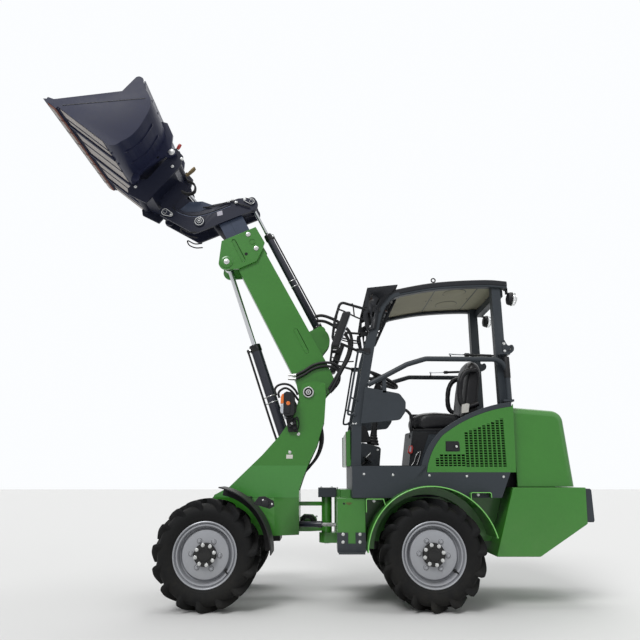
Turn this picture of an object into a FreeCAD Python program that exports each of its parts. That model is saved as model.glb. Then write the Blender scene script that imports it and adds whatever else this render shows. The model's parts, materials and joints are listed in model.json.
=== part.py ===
import FreeCAD, Part
import math
import os
from FreeCAD import Placement, Rotation, Vector

# Wheel loader with a telescopic arm, hinged at its middle.
# Millimetres, +X to the bucket, +Y to the left side, +Z up, ground at Z = 0.
# Outlines of the two frames and the cab are drawn from the steering pivot,
# those of the arm from the arm's pivot, along and across the arm,
# and those of the bucket from its heel, along its floor and up from it.

SIZES = [
    # alias, value, what it is
    ("pivotX", -201, "steering pivot from the middle of the whole machine"),
    ("frontReach", 881, "steering pivot to front axle"),
    ("rearReach", 763, "steering pivot to rear axle"),
    ("trackHalf", 500, "middle plane to a wheel's middle"),
    ("tyreRadius", 387, "ground to axle, out to the lugs' tips"),
    ("carcassRadius", 362, "tyre without its lugs"),
    ("tyreHalfWidth", 132, "half of the tyre's width over its lugs"),
    ("carcassHalfWidth", 125, "half of the carcass's width"),
    ("lugCount", 15, "lugs on each side of a tyre"),
    ("lugReach", 52, "half of a lug's length round the tyre"),
    ("lugRoot", 322, "a lug's lowest point on the shoulder, from the axle"),
    ("flangeRadius", 230, "rim's flange and the tyre's seat"),
    ("stepRadius", 211, "step ring inside the rim's flange"),
    ("rimHalfWidth", 112, "half of the rim's width"),
    ("discOffset", 78, "rim's flat disc from the wheel's middle plane"),
    ("hubRadius", 80, "hub's boss through the disc"),
    ("axleBeamRadius", 58, "axle tube"),
    ("axleCaseRadius", 108, "gear case in the axle's middle"),
    ("weightGap", 5, "rear fender to the rear weight's lower front edge"),
    ("weightBase", 359, "underside of the rear weight"),
    ("weightTop", 851, "top of the rear weight"),
    ("weightSlant", 159, "how far the weight's front face leans back"),
    ("seatGap", 0.3, "gap between pieces that move or are seated"),
    ("framePlate", 20, "thickness of the rear frame's side plates"),
    ("rearFrameHalf", 250, "rear frame's half width"),
    ("towerHalf", 185, "front frame's half width"),
    ("towerPlate", 25, "thickness of the front frame's side plates"),
    ("liftHoleRadius", 20, "lifting holes in the front frame's side plates"),
    ("liftHoleX", 430, "lifting holes from the steering pivot"),
    ("liftHoleZ", 1010, "lifting holes above the ground"),
    ("columnRadius", 42, "column round the steering pin"),
    ("steerPinRadius", 22, "steering pin"),
    ("steerBaseX", 280, "steering ram's base pin from the steering pivot"),
    ("steerBaseY", 70, "steering ram's base pin from the middle plane"),
    ("steerEyeX", -115, "steering ram's rod eye from the steering pivot"),
    ("steerEyeY", 170, "steering ram's rod eye from the middle plane"),
    ("steerRamZ", 560, "steering ram above the ground"),
    ("steerEyeHalf", 30, "half of the steering ram's eyes along their pins"),
    ("upperLugBase", 766, "underside of the upper steering lug"),
    ("upperLugThick", 64, "thickness of the upper steering lug"),
    ("lowerLugBase", 413, "underside of the lower steering lug"),
    ("lowerLugThick", 78, "thickness of the lower steering lug"),
    ("lugWall", 187, "rear face of the wall behind the steering lugs, from the steering pivot"),
    ("deckHalf", 500, "cab deck's half width"),
    ("deckSheet", 20, "deck's skirt"),
    ("deckTop", 1008, "top of the deck"),
    ("panelSeat", 962, "deck's lower top edge under the side panels"),
    ("slotWidth", 25, "air slot in a side panel"),
    ("fenderRadius", 478, "fender's outer radius"),
    ("fenderSheet", 9, "fender's thickness"),
    ("fenderInner", 345, "fender's inner edge from the middle plane"),
    ("fenderOuter", 632, "fender's outer edge from the middle plane"),
    ("weightHalf", 480, "rear weight's half width"),
    ("hoodHalf", 430, "hood's half width"),
    ("hoodWall", 24, "hood's wall"),
    ("hoodShoulder", 58, "radius of the hood's rounded edges"),
    ("hoodCorner", 95, "radius of the hood's upper rear corner"),
    ("stepPlate", 9, "thickness of the step's hanger"),
    ("visorSheet", 4, "thickness of the lamp guard in front of the roof"),
    ("mirrorClamp", 10, "reach of the mirror clamps out from the front posts"),
    ("hoopRadius", 22, "seat's side hoops, tube radius"),
    ("mirrorWidth", 135, "mirror's width"),
    ("postSection", 74, "roof post's width"),
    ("frontPostY", 400, "front post's middle from the middle plane"),
    ("rearPostY", 375, "rear post's middle from the middle plane"),
    ("roofHalf", 425, "roof's half width"),
    ("doorY", 464, "side rail's plane"),
    ("doorTube", 21, "side rail's tube radius"),
    ("doorHingeX", -1436, "side rail's hinge from the steering pivot"),
    ("doorPlate", 8, "plate on the side rail"),
    ("ramEyeHalf", 30, "half of the lift and tilt rams' eyes along their pins"),
    ("boomPivotX", 152, "arm's pivot from the steering pivot"),
    ("boomPivotZ", 1612, "arm's pivot above the ground"),
    ("boomAngle", 62.6, "arm's rise, degrees"),
    ("boomHalf", 130, "outer arm's half width"),
    ("boomSide", 15, "outer arm's side plate"),
    ("boomLow", -50, "outer arm's underside across the arm"),
    ("boomHigh", 234, "outer arm's top across the arm"),
    ("boomSkin", 14, "outer arm's top and bottom plates"),
    ("headPlate", 20, "plate over the outer arm's end"),
    ("innerHalf", 100, "inner arm's half width"),
    ("innerLow", -20, "inner arm's underside across the arm"),
    ("innerHigh", 205, "inner arm's top across the arm"),
    ("innerWall", 12, "inner arm's wall"),
    ("innerTail", 250, "inner arm's rear end along the arm"),
    ("innerNose", 1790, "inner arm's front end along the arm"),
    ("headSide", 25, "side plate of the arm's head"),
    ("ramLineAcross", 338, "telescope ram's line across the arm"),
    ("ramTailAlong", 432, "telescope ram's rear pin along the arm"),
    ("ramHeadAlong", 1815, "telescope ram's front pin along the arm"),
    ("liftEyeAlong", 1378, "lift ram's upper pin along the arm"),
    ("liftEyeAcross", -114, "lift ram's upper pin across the arm"),
    ("liftBaseX", 305, "lift ram's lower pin from the steering pivot"),
    ("liftBaseZ", 1105, "lift ram's lower pin above the ground"),
    ("tiltPivotAlong", 2080, "coupler's lower pin along the arm"),
    ("tiltPivotAcross", -408, "coupler's lower pin across the arm"),
    ("tiltBaseAlong", 1230, "tilt ram's rear pin along the arm"),
    ("tiltBaseAcross", 100, "tilt ram's rear pin across the arm"),
    ("bucketAngle", 38.4, "bucket floor's rise, degrees"),
    ("couplerReach", 466, "coupler's lower pin to the bucket's heel, along its floor"),
    ("couplerRise", 38, "coupler's lower pin to the bucket's heel, up from it"),
    ("tiltPinX", 24, "coupler's upper pin from its lower one, along the floor"),
    ("tiltPinZ", 299, "coupler's upper pin from its lower one, up"),
    ("couplerHalf", 235, "coupler's half width"),
    ("couplerPlate", 22, "coupler's plates"),
    ("earIn", 52, "inner face of the coupler's ears"),
    ("earOut", 78, "outer face of the coupler's ears"),
    ("hookX", 290, "coupler's upper shaft from its lower pin, along the floor"),
    ("hookZ", 455, "coupler's upper shaft from its lower pin, up"),
    ("hookRadius", 20, "coupler's upper shaft through the bucket's hooks"),
    ("bucketRib", 24, "thickness of the hooks on the bucket's back"),
    ("bucketHalf", 750, "bucket's half width"),
    ("bucketWall", 12, "bucket's sheet"),
    ("bucketReach", 735, "bucket's heel to its cutting edge"),
    ("edgeThick", 22, "bucket's cutting edge"),
    ("edgeDepth", 150, "cutting edge's depth along the floor"),
]

doc = FreeCAD.newDocument("WheelLoader")
sheet = doc.addObject("Spreadsheet::Sheet", "Sizes")
for row, (alias, value, meaning) in enumerate(SIZES, start=1):
    sheet.set("A%d" % row, meaning)
    sheet.set("B%d" % row, str(value))
    sheet.setAlias("B%d" % row, alias)
doc.recompute()

nodes = []
counter = [0]


class Cell(float):
    """A number that remembers its formula on the sheet."""

    def __new__(cls, value, formula):
        cell = float.__new__(cls, value)
        cell.formula = formula
        return cell

    def __add__(self, other):
        return Cell(float(self) + float(other), "(%s + %s)" % (self.formula, formula_of(other)))

    def __radd__(self, other):
        return Cell(float(other) + float(self), "(%s + %s)" % (formula_of(other), self.formula))

    def __sub__(self, other):
        return Cell(float(self) - float(other), "(%s - %s)" % (self.formula, formula_of(other)))

    def __rsub__(self, other):
        return Cell(float(other) - float(self), "(%s - %s)" % (formula_of(other), self.formula))

    def __mul__(self, other):
        return Cell(float(self) * float(other), "(%s * %s)" % (self.formula, formula_of(other)))

    __rmul__ = __mul__

    def __neg__(self):
        return Cell(-float(self), "(-1 * %s)" % self.formula)


def formula_of(value):
    return value.formula if isinstance(value, Cell) else repr(float(value))


class Sheet:
    """The driving sizes by name."""

    def __getattr__(self, alias):
        return Cell(float(getattr(sheet, alias)), "Sizes." + alias)


S = Sheet()


def name(stem):
    counter[0] += 1
    return "%s%03d" % (stem, counter[0])


def give(obj, **values):
    """Set properties: a cell binds its formula, a plain number is set as it is."""
    for key, value in values.items():
        key = key.replace("_", ".")
        if isinstance(value, Cell):
            obj.setExpression(key, value.formula)
        elif "." in key:
            obj.setExpression(key, repr(float(value)))
        else:
            setattr(obj, key, value)
    return obj


def cyl(radius, length, at=(0, 0, 0), axis=(0, 1, 0)):
    """A cylinder centred on its point."""
    obj = give(doc.addObject("Part::Cylinder", name("Cylinder")), Radius=radius, Height=length)
    way = Vector(*axis).normalize()
    obj.Placement = Placement(Vector(*at) - way * (length / 2), Rotation(Vector(0, 0, 1), way))
    return obj


def box(low, high):
    """A box between its lowest and highest corners."""
    obj = doc.addObject("Part::Box", name("Box"))
    give(obj, Length=high[0] - low[0], Width=high[1] - low[1], Height=high[2] - low[2])
    obj.Placement.Base = Vector(*low)
    return obj


def outline(points):
    """A closed sketch in the XZ plane. A point is (x, z), or (x, z, mid x, mid z) at an arc's end."""
    sk = doc.addObject("Sketcher::SketchObject", name("Sketch"))
    edges = []
    for i, point in enumerate(points):
        start = Vector(points[i - 1][0], points[i - 1][1], 0)
        end = Vector(point[0], point[1], 0)
        if len(point) == 4:
            edges.append(Part.Arc(start, Vector(point[2], point[3], 0), end))
        else:
            edges.append(Part.LineSegment(start, end))
    sk.addGeometry(edges, False)
    sk.Placement = Placement(Vector(0, 0, 0), Rotation(Vector(1, 0, 0), 90))
    return sk


def plate(points, y_low, y_high):
    """An outline in the XZ plane given thickness from y_low to y_high."""
    obj = doc.addObject("Part::Extrusion", name("Plate"))
    obj.Base = outline(points)
    obj.DirMode = "Normal"
    obj.Solid = True
    return give(obj, LengthFwd=0.0 - y_low, LengthRev=y_high)


def both(points, y_low, y_high):
    """The same plate on the left and on the right."""
    return [plate(points, y_low, y_high), plate(points, 0.0 - y_high, 0.0 - y_low)]


def flat(parts):
    found = []
    for part in parts:
        found.extend(flat(part) if isinstance(part, (list, tuple)) else [part])
    return found


def fuse(*parts):
    obj = doc.addObject("Part::MultiFuse", name("Fuse"))
    obj.Shapes = flat(parts)
    return obj


def cut(base, *tools):
    obj = doc.addObject("Part::Cut", name("Cut"))
    obj.Base = base
    tools = flat(tools)
    obj.Tool = tools[0] if len(tools) == 1 else fuse(*tools)
    return obj


def turned(points, axis=(1, 0, 0)):
    """A closed outline in the XZ plane turned round an axis through the origin."""
    obj = doc.addObject("Part::Revolution", name("Turned"))
    obj.Source = outline(points)
    obj.Axis = Vector(*axis)
    obj.Angle = 360
    obj.Solid = True
    return obj


def tube(path, radius, bend):
    """A round bar along straight runs joined by tangent arcs of a given bend."""
    points = [Vector(*p) for p in path]
    edges = []
    last = points[0]
    for before, corner, after in zip(points, points[1:], points[2:]):
        into = (corner - before).normalize()
        out = (after - corner).normalize()
        half_turn = into.getAngle(out) / 2
        shorter = min((corner - before).Length, (after - corner).Length)
        step = min(bend * math.tan(half_turn), shorter * 0.45)
        bend_here = step / math.tan(half_turn)
        inward = (out - into).normalize()
        middle = corner + inward * (bend_here / math.cos(half_turn) - bend_here)
        edges.append(Part.LineSegment(last, corner - into * step).toShape())
        edges.append(Part.Arc(corner - into * step, middle, corner + out * step).toShape())
        last = corner + out * step
    edges.append(Part.LineSegment(last, points[-1]).toShape())
    way = (points[1] - points[0]).normalize()
    ring = Part.Wire([Part.Circle(points[0], way, float(radius)).toShape()])
    obj = doc.addObject("Part::Feature", name("Tube"))
    obj.Shape = Part.Wire(edges).makePipeShell([ring], True, False)
    return obj


def node(label, obj, place):
    """Name a finished piece and put it in its place."""
    if isinstance(obj, (list, tuple)):
        obj = fuse(*obj) if len(flat(obj)) > 1 else flat(obj)[0]
    obj.Placement = place.multiply(obj.Placement)
    obj.Label = label
    nodes.append(obj)


frame_at = Placement(Vector(S.pivotX, 0, 0), Rotation())
arm_at = Placement(
    Vector(S.pivotX + S.boomPivotX, 0, S.boomPivotZ), Rotation(Vector(0, 1, 0), -float(S.boomAngle)))
tilt_pin = arm_at.multVec(Vector(S.tiltPivotAlong, 0, S.tiltPivotAcross))
coupler_at = Placement(tilt_pin, Rotation(Vector(0, 1, 0), -float(S.bucketAngle)))
bucket_at = coupler_at.multiply(Placement(Vector(S.couplerReach, 0, S.couplerRise), Rotation()))


def ram(stem, base, tip, place, barrel, rod, eye_axis=(0, 1, 0)):
    """A hydraulic ram from its base pin to its rod's eye.

    barrel: length, radius; rod: radius, length inside the barrel; both share the eye's sizes.
    """
    length, radius, eye_radius, eye_width, pin_radius = barrel
    rod_radius, inside = rod
    start = Vector(*base)
    way = Vector(*tip) - start
    reach = way.Length
    # The ram is drawn along X with its eyes turning about Y.
    if eye_axis == (0, 1, 0):
        turn = Rotation(Vector(0, 1, 0), -math.degrees(math.atan2(way.z, way.x)))
    else:
        turn = Rotation(Vector(0, 0, 1), math.degrees(math.atan2(way.y, way.x)))
        turn = turn.multiply(Rotation(Vector(1, 0, 0), 90))
    own = place.multiply(Placement(start, turn))
    gland = 34
    bore = rod_radius + 0.4
    tube_part = turned([
        (eye_radius * 0.8, 0), (eye_radius * 0.8, radius), (length - gland, radius),
        (length - gland, radius + 4), (length, radius + 4), (length, bore),
        (length - 60, bore), (length - 60, radius - 6), (eye_radius + 20, radius - 6),
        (eye_radius + 20, 0)])
    eye = cyl(eye_radius, eye_width)
    node(stem + "_barrel", cut(fuse(tube_part, eye), cyl(pin_radius + 0.3, eye_width + 2)), own)
    rod_end = length - inside
    bar = turned([
        (rod_end, 0), (rod_end, rod_radius), (reach - eye_radius * 0.8, rod_radius),
        (reach - eye_radius * 0.8, 0)])
    rod_eye = cyl(eye_radius, eye_width, (reach, 0, 0))
    hole = cyl(pin_radius + 0.3, eye_width + 2, (reach, 0, 0))
    node(stem + "_rod", cut(fuse(bar, rod_eye), hole), own)


def carcass():
    """A tyre without its lugs and its bore, as flats round the axle, so that the lugs meet flats."""
    half = S.carcassHalfWidth
    tread = S.carcassRadius
    rings = [(-half, tread - 44), (26 - half, tread), (half - 26, tread), (half, tread - 44)]
    loft = doc.addObject("Part::Loft", name("Carcass"))
    sections = []
    for height, radius in rings:
        ring = give(doc.addObject("Part::RegularPolygon", name("Ring")), Circumradius=radius)
        ring.Polygon = int(S.lugCount)
        ring.Placement.Base = Vector(0, 0, height)
        sections.append(ring)
    loft.Sections = sections
    loft.Solid = True
    loft.Ruled = True
    return loft


def lugs():
    """A tyre's slanting lugs, in its own frame with its axle along Z. A corner stands on the ground."""
    reach = S.lugReach
    half = S.tyreHalfWidth
    top = math.sqrt(S.tyreRadius ** 2 - reach ** 2)
    lean = math.degrees(math.atan2(reach, top))
    pitch = 360 / int(S.lugCount)
    found = []
    for side, shift in ((1, 0), (-1, pitch / 2)):
        line = outline([(-reach, side * 5), (26 - reach, side * 5), (reach, side * half),
                        (reach - 34, side * half)])
        for i in range(int(S.lugCount)):
            lug = give(doc.addObject("Part::Extrusion", name("Lug")), LengthFwd=-float(S.lugRoot),
                       LengthRev=top)
            lug.Base = line
            lug.DirMode = "Normal"
            lug.Solid = True
            lug.Placement = Placement(Vector(), Rotation(Vector(0, 0, 1), lean + shift + pitch * i))
            found.append(lug)
    return found


def wheel(stem, reach, side):
    """A tyre on its rim. The rim's disc and hub face outwards."""
    at = Placement(Vector(S.pivotX + reach, S.trackHalf * side, S.tyreRadius), Rotation())
    # Outlines lie along the axle (Z here) and out from it, then the wheel is laid down along Y.
    bore = cyl(S.flangeRadius + S.seatGap, 2 * S.tyreHalfWidth, (0, 0, 0), (0, 0, 1))
    solid = cut(carcass(), bore)
    tyre = fuse(solid, lugs())
    tyre.Refine = False
    node("tyre_" + stem, tyre, at.multiply(Placement(Vector(), Rotation(Vector(1, 0, 0), -90))))
    rim_half = S.rimHalfWidth
    disc = S.discOffset
    step = S.stepRadius
    lip = S.flangeRadius
    # The face has the disc, a deep ring round it, a step and the flange with its groove.
    rim = turned([
        (0, disc - 30), (S.hubRadius, disc - 30), (S.hubRadius, disc - 12), (166, disc - 12),
        (176, disc - 46), (step - 9, disc - 46), (step - 9, 6 - rim_half),
        (lip, -rim_half), (lip, rim_half), (lip - 7, rim_half), (lip - 12, rim_half - 10),
        (step - 4, rim_half - 10), (step - 8, rim_half - 2), (step - 16, rim_half - 4),
        (step - 22, disc - 34), (176, disc - 34), (168, disc), (S.hubRadius, disc),
        (S.hubRadius - 4, disc + 34), (0, disc + 34)], (0, 0, 1))
    turn = Rotation(Vector(1, 0, 0), -90 * side)
    node("rim_" + stem, rim, at.multiply(Placement(Vector(), turn)))


def axle(label, reach, pad_low, pad_high, pad_half):
    """An axle: a tube with a gear case in its middle, hub carriers and two pads under the frame."""
    z = S.tyreRadius
    end = S.trackHalf - 118
    beam = cyl(S.axleBeamRadius, 2 * end, (reach, 0, z))
    case = cyl(S.axleCaseRadius, 190, (reach, 0, z), (1, 0, 0))
    ends = [cyl(88, 60, (reach, side * (end - 30), z)) for side in (-1, 1)]
    stub = S.discOffset + 87.5
    stubs = [cyl(60, stub, (reach, side * (end + stub * 0.5), z)) for side in (-1, 1)]
    pads = [box((reach - 70, side - 30, pad_low), (reach + 70, side + 30, pad_high))
            for side in (-pad_half, pad_half)]
    node(label, fuse(beam, case, ends, stubs, pads), frame_at)


def fender(label, reach, start, end, stay=None):
    """Fenders on both sides: an arc of sheet round the wheel, with a stay to the frame if it has one."""
    outer = S.fenderRadius
    inner = outer - S.fenderSheet
    z = S.tyreRadius
    a, b = math.radians(start), math.radians(end)
    m = (a + b) / 2

    def at(radius, angle):
        return (reach + radius * math.cos(angle), z + radius * math.sin(angle))

    ring = [at(outer, a), at(outer, b) + at(outer, m), at(inner, b), at(inner, a) + at(inner, m)]
    web = [at(outer - 0.0, a), at(outer, b) + at(outer, m), at(inner - 60, b),
           at(inner - 60, a) + at(inner - 60, m)]
    parts = []
    for side in (-1, 1):
        low, high = sorted((side * S.fenderInner, side * S.fenderOuter))
        parts.append(plate(ring, low, high))
        low, high = sorted((side * S.fenderInner, side * (S.fenderInner + S.fenderSheet)))
        parts.append(plate(web, low, high))
        if stay is not None:
            low, high = sorted((side * (S.towerHalf + S.seatGap), side * (S.fenderInner + 5)))
            parts.append(box((stay[0] - 20, low, stay[1] - 14), (stay[0] + 20, high, stay[1] + 14)))
    node(label, parts, frame_at)


# Rear frame

weight_edge = 0.0 - (S.rearReach + S.fenderRadius + S.weightGap)


def weight_front(z):
    """The weight's slanting front face at a height, with its seat gap."""
    lean = S.weightSlant * (z - S.weightBase) / (S.weightTop - S.weightBase)
    return weight_edge - lean + S.seatGap


def rear_frame():
    half = S.rearFrameHalf
    low, top = 446, S.upperLugBase + 10
    # The rear edge follows the weight's front face.
    side = [(-70, 520), (-70, top), (weight_front(top), top), (weight_front(low), low), (-120, low)]
    rails = both(side, half - S.framePlate, half)
    nose = 62
    parts = list(rails)
    wall = -S.lugWall
    for base, thick in ((S.upperLugBase, S.upperLugThick), (S.lowerLugBase, S.lowerLugThick)):
        head = base + thick
        parts.append(cyl(nose, thick, (0, 0, base + thick * 0.5), (0, 0, 1)))
        parts.append(box((wall, -nose, base), (0, nose, head)))
        parts.append(box((wall, -half + S.framePlate, base), (-110, half - S.framePlate, head)))
    parts.append(box((wall, -half + S.framePlate, S.lowerLugBase),
                     (wall + 18, half - S.framePlate, top)))
    parts.append(box((-700, -half + S.framePlate, 600), (-620, half - S.framePlate, top)))
    parts.append(box((-1240, -half + S.framePlate, low), (-1180, half - S.framePlate, top)))
    # The fork that holds the steering ram's rod eye from below and above.
    x, y, z = S.steerEyeX, S.steerEyeY, S.steerRamZ
    for side in (-1, 1):
        near = side * (S.steerEyeHalf + S.seatGap)
        far = side * (S.steerEyeHalf + 16)
        parts.append(box((wall + 10, y - 32, z + min(near, far)),
                         (x + 28, y + 32, z + max(near, far))))
        parts.append(cyl(16, 8, (x, y, z + far + side * 3.9), (0, 0, 1)))
    pin = cyl(S.steerPinRadius + S.seatGap, 700, (0, 0, 600), (0, 0, 1))
    node("rear_frame", cut(fuse(parts), pin), frame_at)
    span = S.upperLugBase + S.upperLugThick - S.lowerLugBase
    node("steering_pin", cyl(S.steerPinRadius, span + 16,
                             (0, 0, S.lowerLugBase + span * 0.5), (0, 0, 1)), frame_at)


def steps():
    parts = []
    for side in (-1, 1):
        low, high = sorted((side * (S.rearFrameHalf + S.seatGap), side * 484.0))
        parts.append(box((S.fenderRadius - S.rearReach + 1, low, 393), (-75, high, S.deckTop - 236)))
    node("steps", parts, frame_at)
    # The step hangs on two tabs; its tread stands out below.
    near = 484 + S.seatGap
    hanger = [(-72, 529), (-152, 529), (-152, 452), (-208, 452), (-208, 529), (-284, 529),
              (-284, 403), (-266, 384, -278, 389), (-90, 384), (-72, 403, -78, 389)]
    treads = []
    for side in (-1, 1):
        low, high = sorted((side * near, side * (484 + 68)))
        treads.append(box((-274, low, 384), (-82, high, 393)))
    node("step_plates", [both(hanger, near, near + S.stepPlate), treads], frame_at)


def deck():
    half = S.deckHalf
    skin = S.deckSheet
    top = S.deckTop
    bottom = S.upperLugBase + 10 + S.seatGap
    arch = S.fenderRadius + S.seatGap
    skirt = [(-188, bottom), (-188, top), (-750, top), (-750, S.panelSeat),
             (-1390, S.panelSeat), (-1310, bottom)]
    sides = both(skirt, half - skin, half)
    floor = box((-1155, -half + skin, top - 24), (-188, half - skin, top))
    front = box((-208, -half + skin, bottom), (-188, half - skin, top - 24))
    beams = [box((-1150, y - 30, bottom), (-208, y + 30, top - 24)) for y in (-230, 230)]
    wheels = cyl(arch, 2000, (-S.rearReach, 0, S.tyreRadius))
    solid = cut(fuse(sides, floor, front), wheels)
    node("deck", fuse(solid, beams), frame_at)


def weight():
    front, base, top = weight_edge, S.weightBase, S.weightTop
    side = [(front, base), (-1570, base), (-1942, 589), (-1955, 836), (-1955, top),
            (front - S.weightSlant, top)]
    node("rear_weight", plate(side, -S.weightHalf, S.weightHalf), frame_at)
    strip = [(-1943, 600), (-1992, 600), (-2000, 612), (-2000, 830), (-1992, 842), (-1955.3, 842),
             (-1955.3, 836)]
    node("rear_bumper", plate(strip, -S.weightHalf + 10, S.weightHalf - 10), frame_at)


def battery():
    node("battery_block", box((-1780, -330, S.weightTop + S.seatGap), (-1175, 330, 1285)), frame_at)


PANEL = [(-756, S.panelSeat + 0.3), (-890, 1237, -801, 1108), (-1437, 1458, -1150, 1385),
         (-1450, 1478), (-1432, S.panelSeat + 0.3)]
BAND = [(-718, 0.3 + S.deckTop), (-868, 1266, -775, 1150), (-1440, 1496, -1140, 1420),
        (-1437, 1458), (-890, 1237, -1150, 1385), (-756, S.panelSeat + 0.3, -801, 1108),
        (-750.3, S.panelSeat + 0.3), (-750.3, 0.3 + S.deckTop)]


# Columns of the side panels' air slots: first and last middle, lowest edge, upper edge at both ends.
GRILLE = [(-840, -840, 1007, 1066, 1066, 1), (-873, -1038, 1007, 1094, 1094, 6),
          (-1071, -1351, 1003, 1262, 1365, 9)]


def side_panels():
    slots = []
    for first, last, low, high_first, high_last, count in GRILLE:
        for i in range(count):
            part = i / max(count - 1, 1)
            x = first + (last - first) * part
            high = high_first + (high_last - high_first) * part
            slots.append(box((x - S.slotWidth * 0.5, -520, low), (x + S.slotWidth * 0.5, 520, high)))
    skins = both(PANEL, S.deckHalf - S.deckSheet, S.deckHalf)
    node("side_panels", cut(fuse(skins), slots), frame_at)


def rounded(obj, radius, wanted):
    """Round the edges whose bounding box passes a test."""
    doc.recompute()
    found = [i for i, edge in enumerate(obj.Shape.Edges, start=1) if wanted(edge.BoundBox)]
    done = doc.addObject("Part::Fillet", name("Round"))
    done.Base = obj
    done.Edges = [(i, float(radius), float(radius)) for i in found]
    return done


def hood():
    """The rear hood: a shell open below and in front, hinged at its upper front edge."""
    half = S.hoodHalf
    wall = S.hoodWall
    front, foot = -1458, 856
    outer = [(front, foot), (front, 1466), (-1862, 1432), (-1904, foot)]
    inner = [(front + 18, foot - 16), (front + 18, 1444), (-1768, 1415), (-1832, 1330, -1814, 1386),
             (-1861, 1120), (-1880, foot - 16)]
    solid = rounded(plate(outer, -half, half), S.hoodCorner,
                    lambda b: b.YLength > 1 and b.ZMin > 1400 and b.XMax < front - 10)
    solid = rounded(solid, S.hoodShoulder,
                    lambda b: b.YLength < 1 and b.XLength > 1 and b.ZMax > foot + 1)
    shell = cut(solid, plate(inner, -half + wall, half - wall))
    hinge = [cyl(9, 60, (-1464, y, 1476)) for y in (-260, 260)]
    feet = [box((-1473, y - 30, 1440), (-1464, y + 30, 1476)) for y in (-260, 260)]
    node("hood", cut(fuse(shell, hinge, feet), cyl(4.3, 700, (-1464, 0, 1476))), frame_at)


def cab():
    post = S.postSection / 2
    front = [(-223 - post, S.deckTop + 0.3), (-223 + post, S.deckTop + 0.3), (-233 + post, 1316),
             (-354 + post, 1970), (-475 + post, 2380), (-475 - post, 2380), (-354 - post, 1970),
             (-233 - post, 1316)]
    rear = [(-1412 - post, S.panelSeat + 0.3), (-1412 + post, S.panelSeat + 0.3),
            (-1412 + post, 2440), (-1412 - post, 2440)]
    rail = [(-420, 2340), (-1449, 2395), (-1501, 2400), (-1501, 2462), (-486, 2408)]
    parts = [both(front, S.frontPostY - post, S.frontPostY + post),
             both(rear, S.rearPostY - post, S.rearPostY + post),
             both(rail, S.rearPostY - post, S.frontPostY + post)]
    inner = S.rearPostY - post
    parts.append(box((-560, -inner, 2362), (-500, inner, 2408)))
    parts.append(box((-1490, -inner, 2400), (-1430, inner, 2458)))
    parts.append(box((-1449, -inner, 1420), (-1375, inner, 1490)))
    parts.append([cyl(9, 60, (-1464, y, 1476)) for y in (-198, 198)])
    parts.append([box((-1464, y - 30, 1467), (-1440, y + 30, 1485)) for y in (-198, 198)])
    pin = cyl(4.0, 580, (-1464, 0, 1476))
    # Hinge plates of the side rails on the rear posts.
    hinge_y = S.rearPostY + post
    for side in (-1, 1):
        low, high = sorted((side * hinge_y, side * (S.doorY + 24)))
        for z_low, z_high in ((1876, 1888), (1500, 1516)):
            parts.append(box((-1466, low, z_low), (-1385, high, z_high)))
    pins = [cyl(8.3, 30, (S.doorHingeX, side * S.doorY, z), (0, 0, 1))
            for side in (-1, 1) for z in (1882, 1508)]
    lobe = [(-1449, 1896), (-1449, 2006), (-1478, 1992), (-1508, 1975), (-1508, 1902, -1550, 1938),
            (-1480, 1896)]
    parts.append(both(lobe, hinge_y - 1, hinge_y + 8))
    # Brackets of the gas struts on the rear posts.
    for side in (-1, 1):
        low, high = sorted((side * 350.0, side * 400.0))
        parts.append(box((-1378, low, 1862), (-1322, high, 1872)))
    node("roof_frame", cut(fuse(parts, pin), pins), frame_at)
    roof = [(-486, 2408.3), (-1201, 2522, -850, 2492), (-1501, 2507, -1350, 2522), (-1501, 2462.3)]
    node("roof", plate(roof, -S.roofHalf, S.roofHalf), frame_at)


def cowl():
    side = [(-150, S.deckTop + 0.3), (-150, 1270), (-176, 1287), (-185.7, 1287), (-185.7, 1060),
            (-230, S.deckTop + 0.3)]
    node("front_cowl", plate(side, -362, 362), frame_at)
    column = [(-285, S.deckTop + 0.3), (-285, 1160), (-330, 1215), (-455, 1215), (-455, 1130),
              (-420, S.deckTop + 0.3)]
    block = plate(column, -70, 70)
    foot = Vector(-395, 0, 1205)
    head = Vector(-455, 0, 1752)
    way = head - foot
    stalk = cyl(26, way.Length, (foot + head) * 0.5, way)
    ring = doc.addObject("Part::Torus", name("Ring"))
    ring.Radius1 = 170
    ring.Radius2 = 15
    lean = Rotation(Vector(0, 0, 1), Vector(-0.42, 0, 0.91))
    ring.Placement = Placement(Vector(-455, 0, 1752), lean)
    spokes = []
    for turn in (90, 210, 330):
        spoke = box((0, -14, -5), (172, 14, 5))
        spin = Placement(Vector(-455, 0, 1752), lean).multiply(
            Placement(Vector(), Rotation(Vector(0, 0, 1), turn)))
        spoke.Placement = spin.multiply(Placement(Vector(0, -14, -5), Rotation()))
        spokes.append(spoke)
    node("steering_console", fuse(block, stalk, ring, spokes), frame_at)


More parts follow.
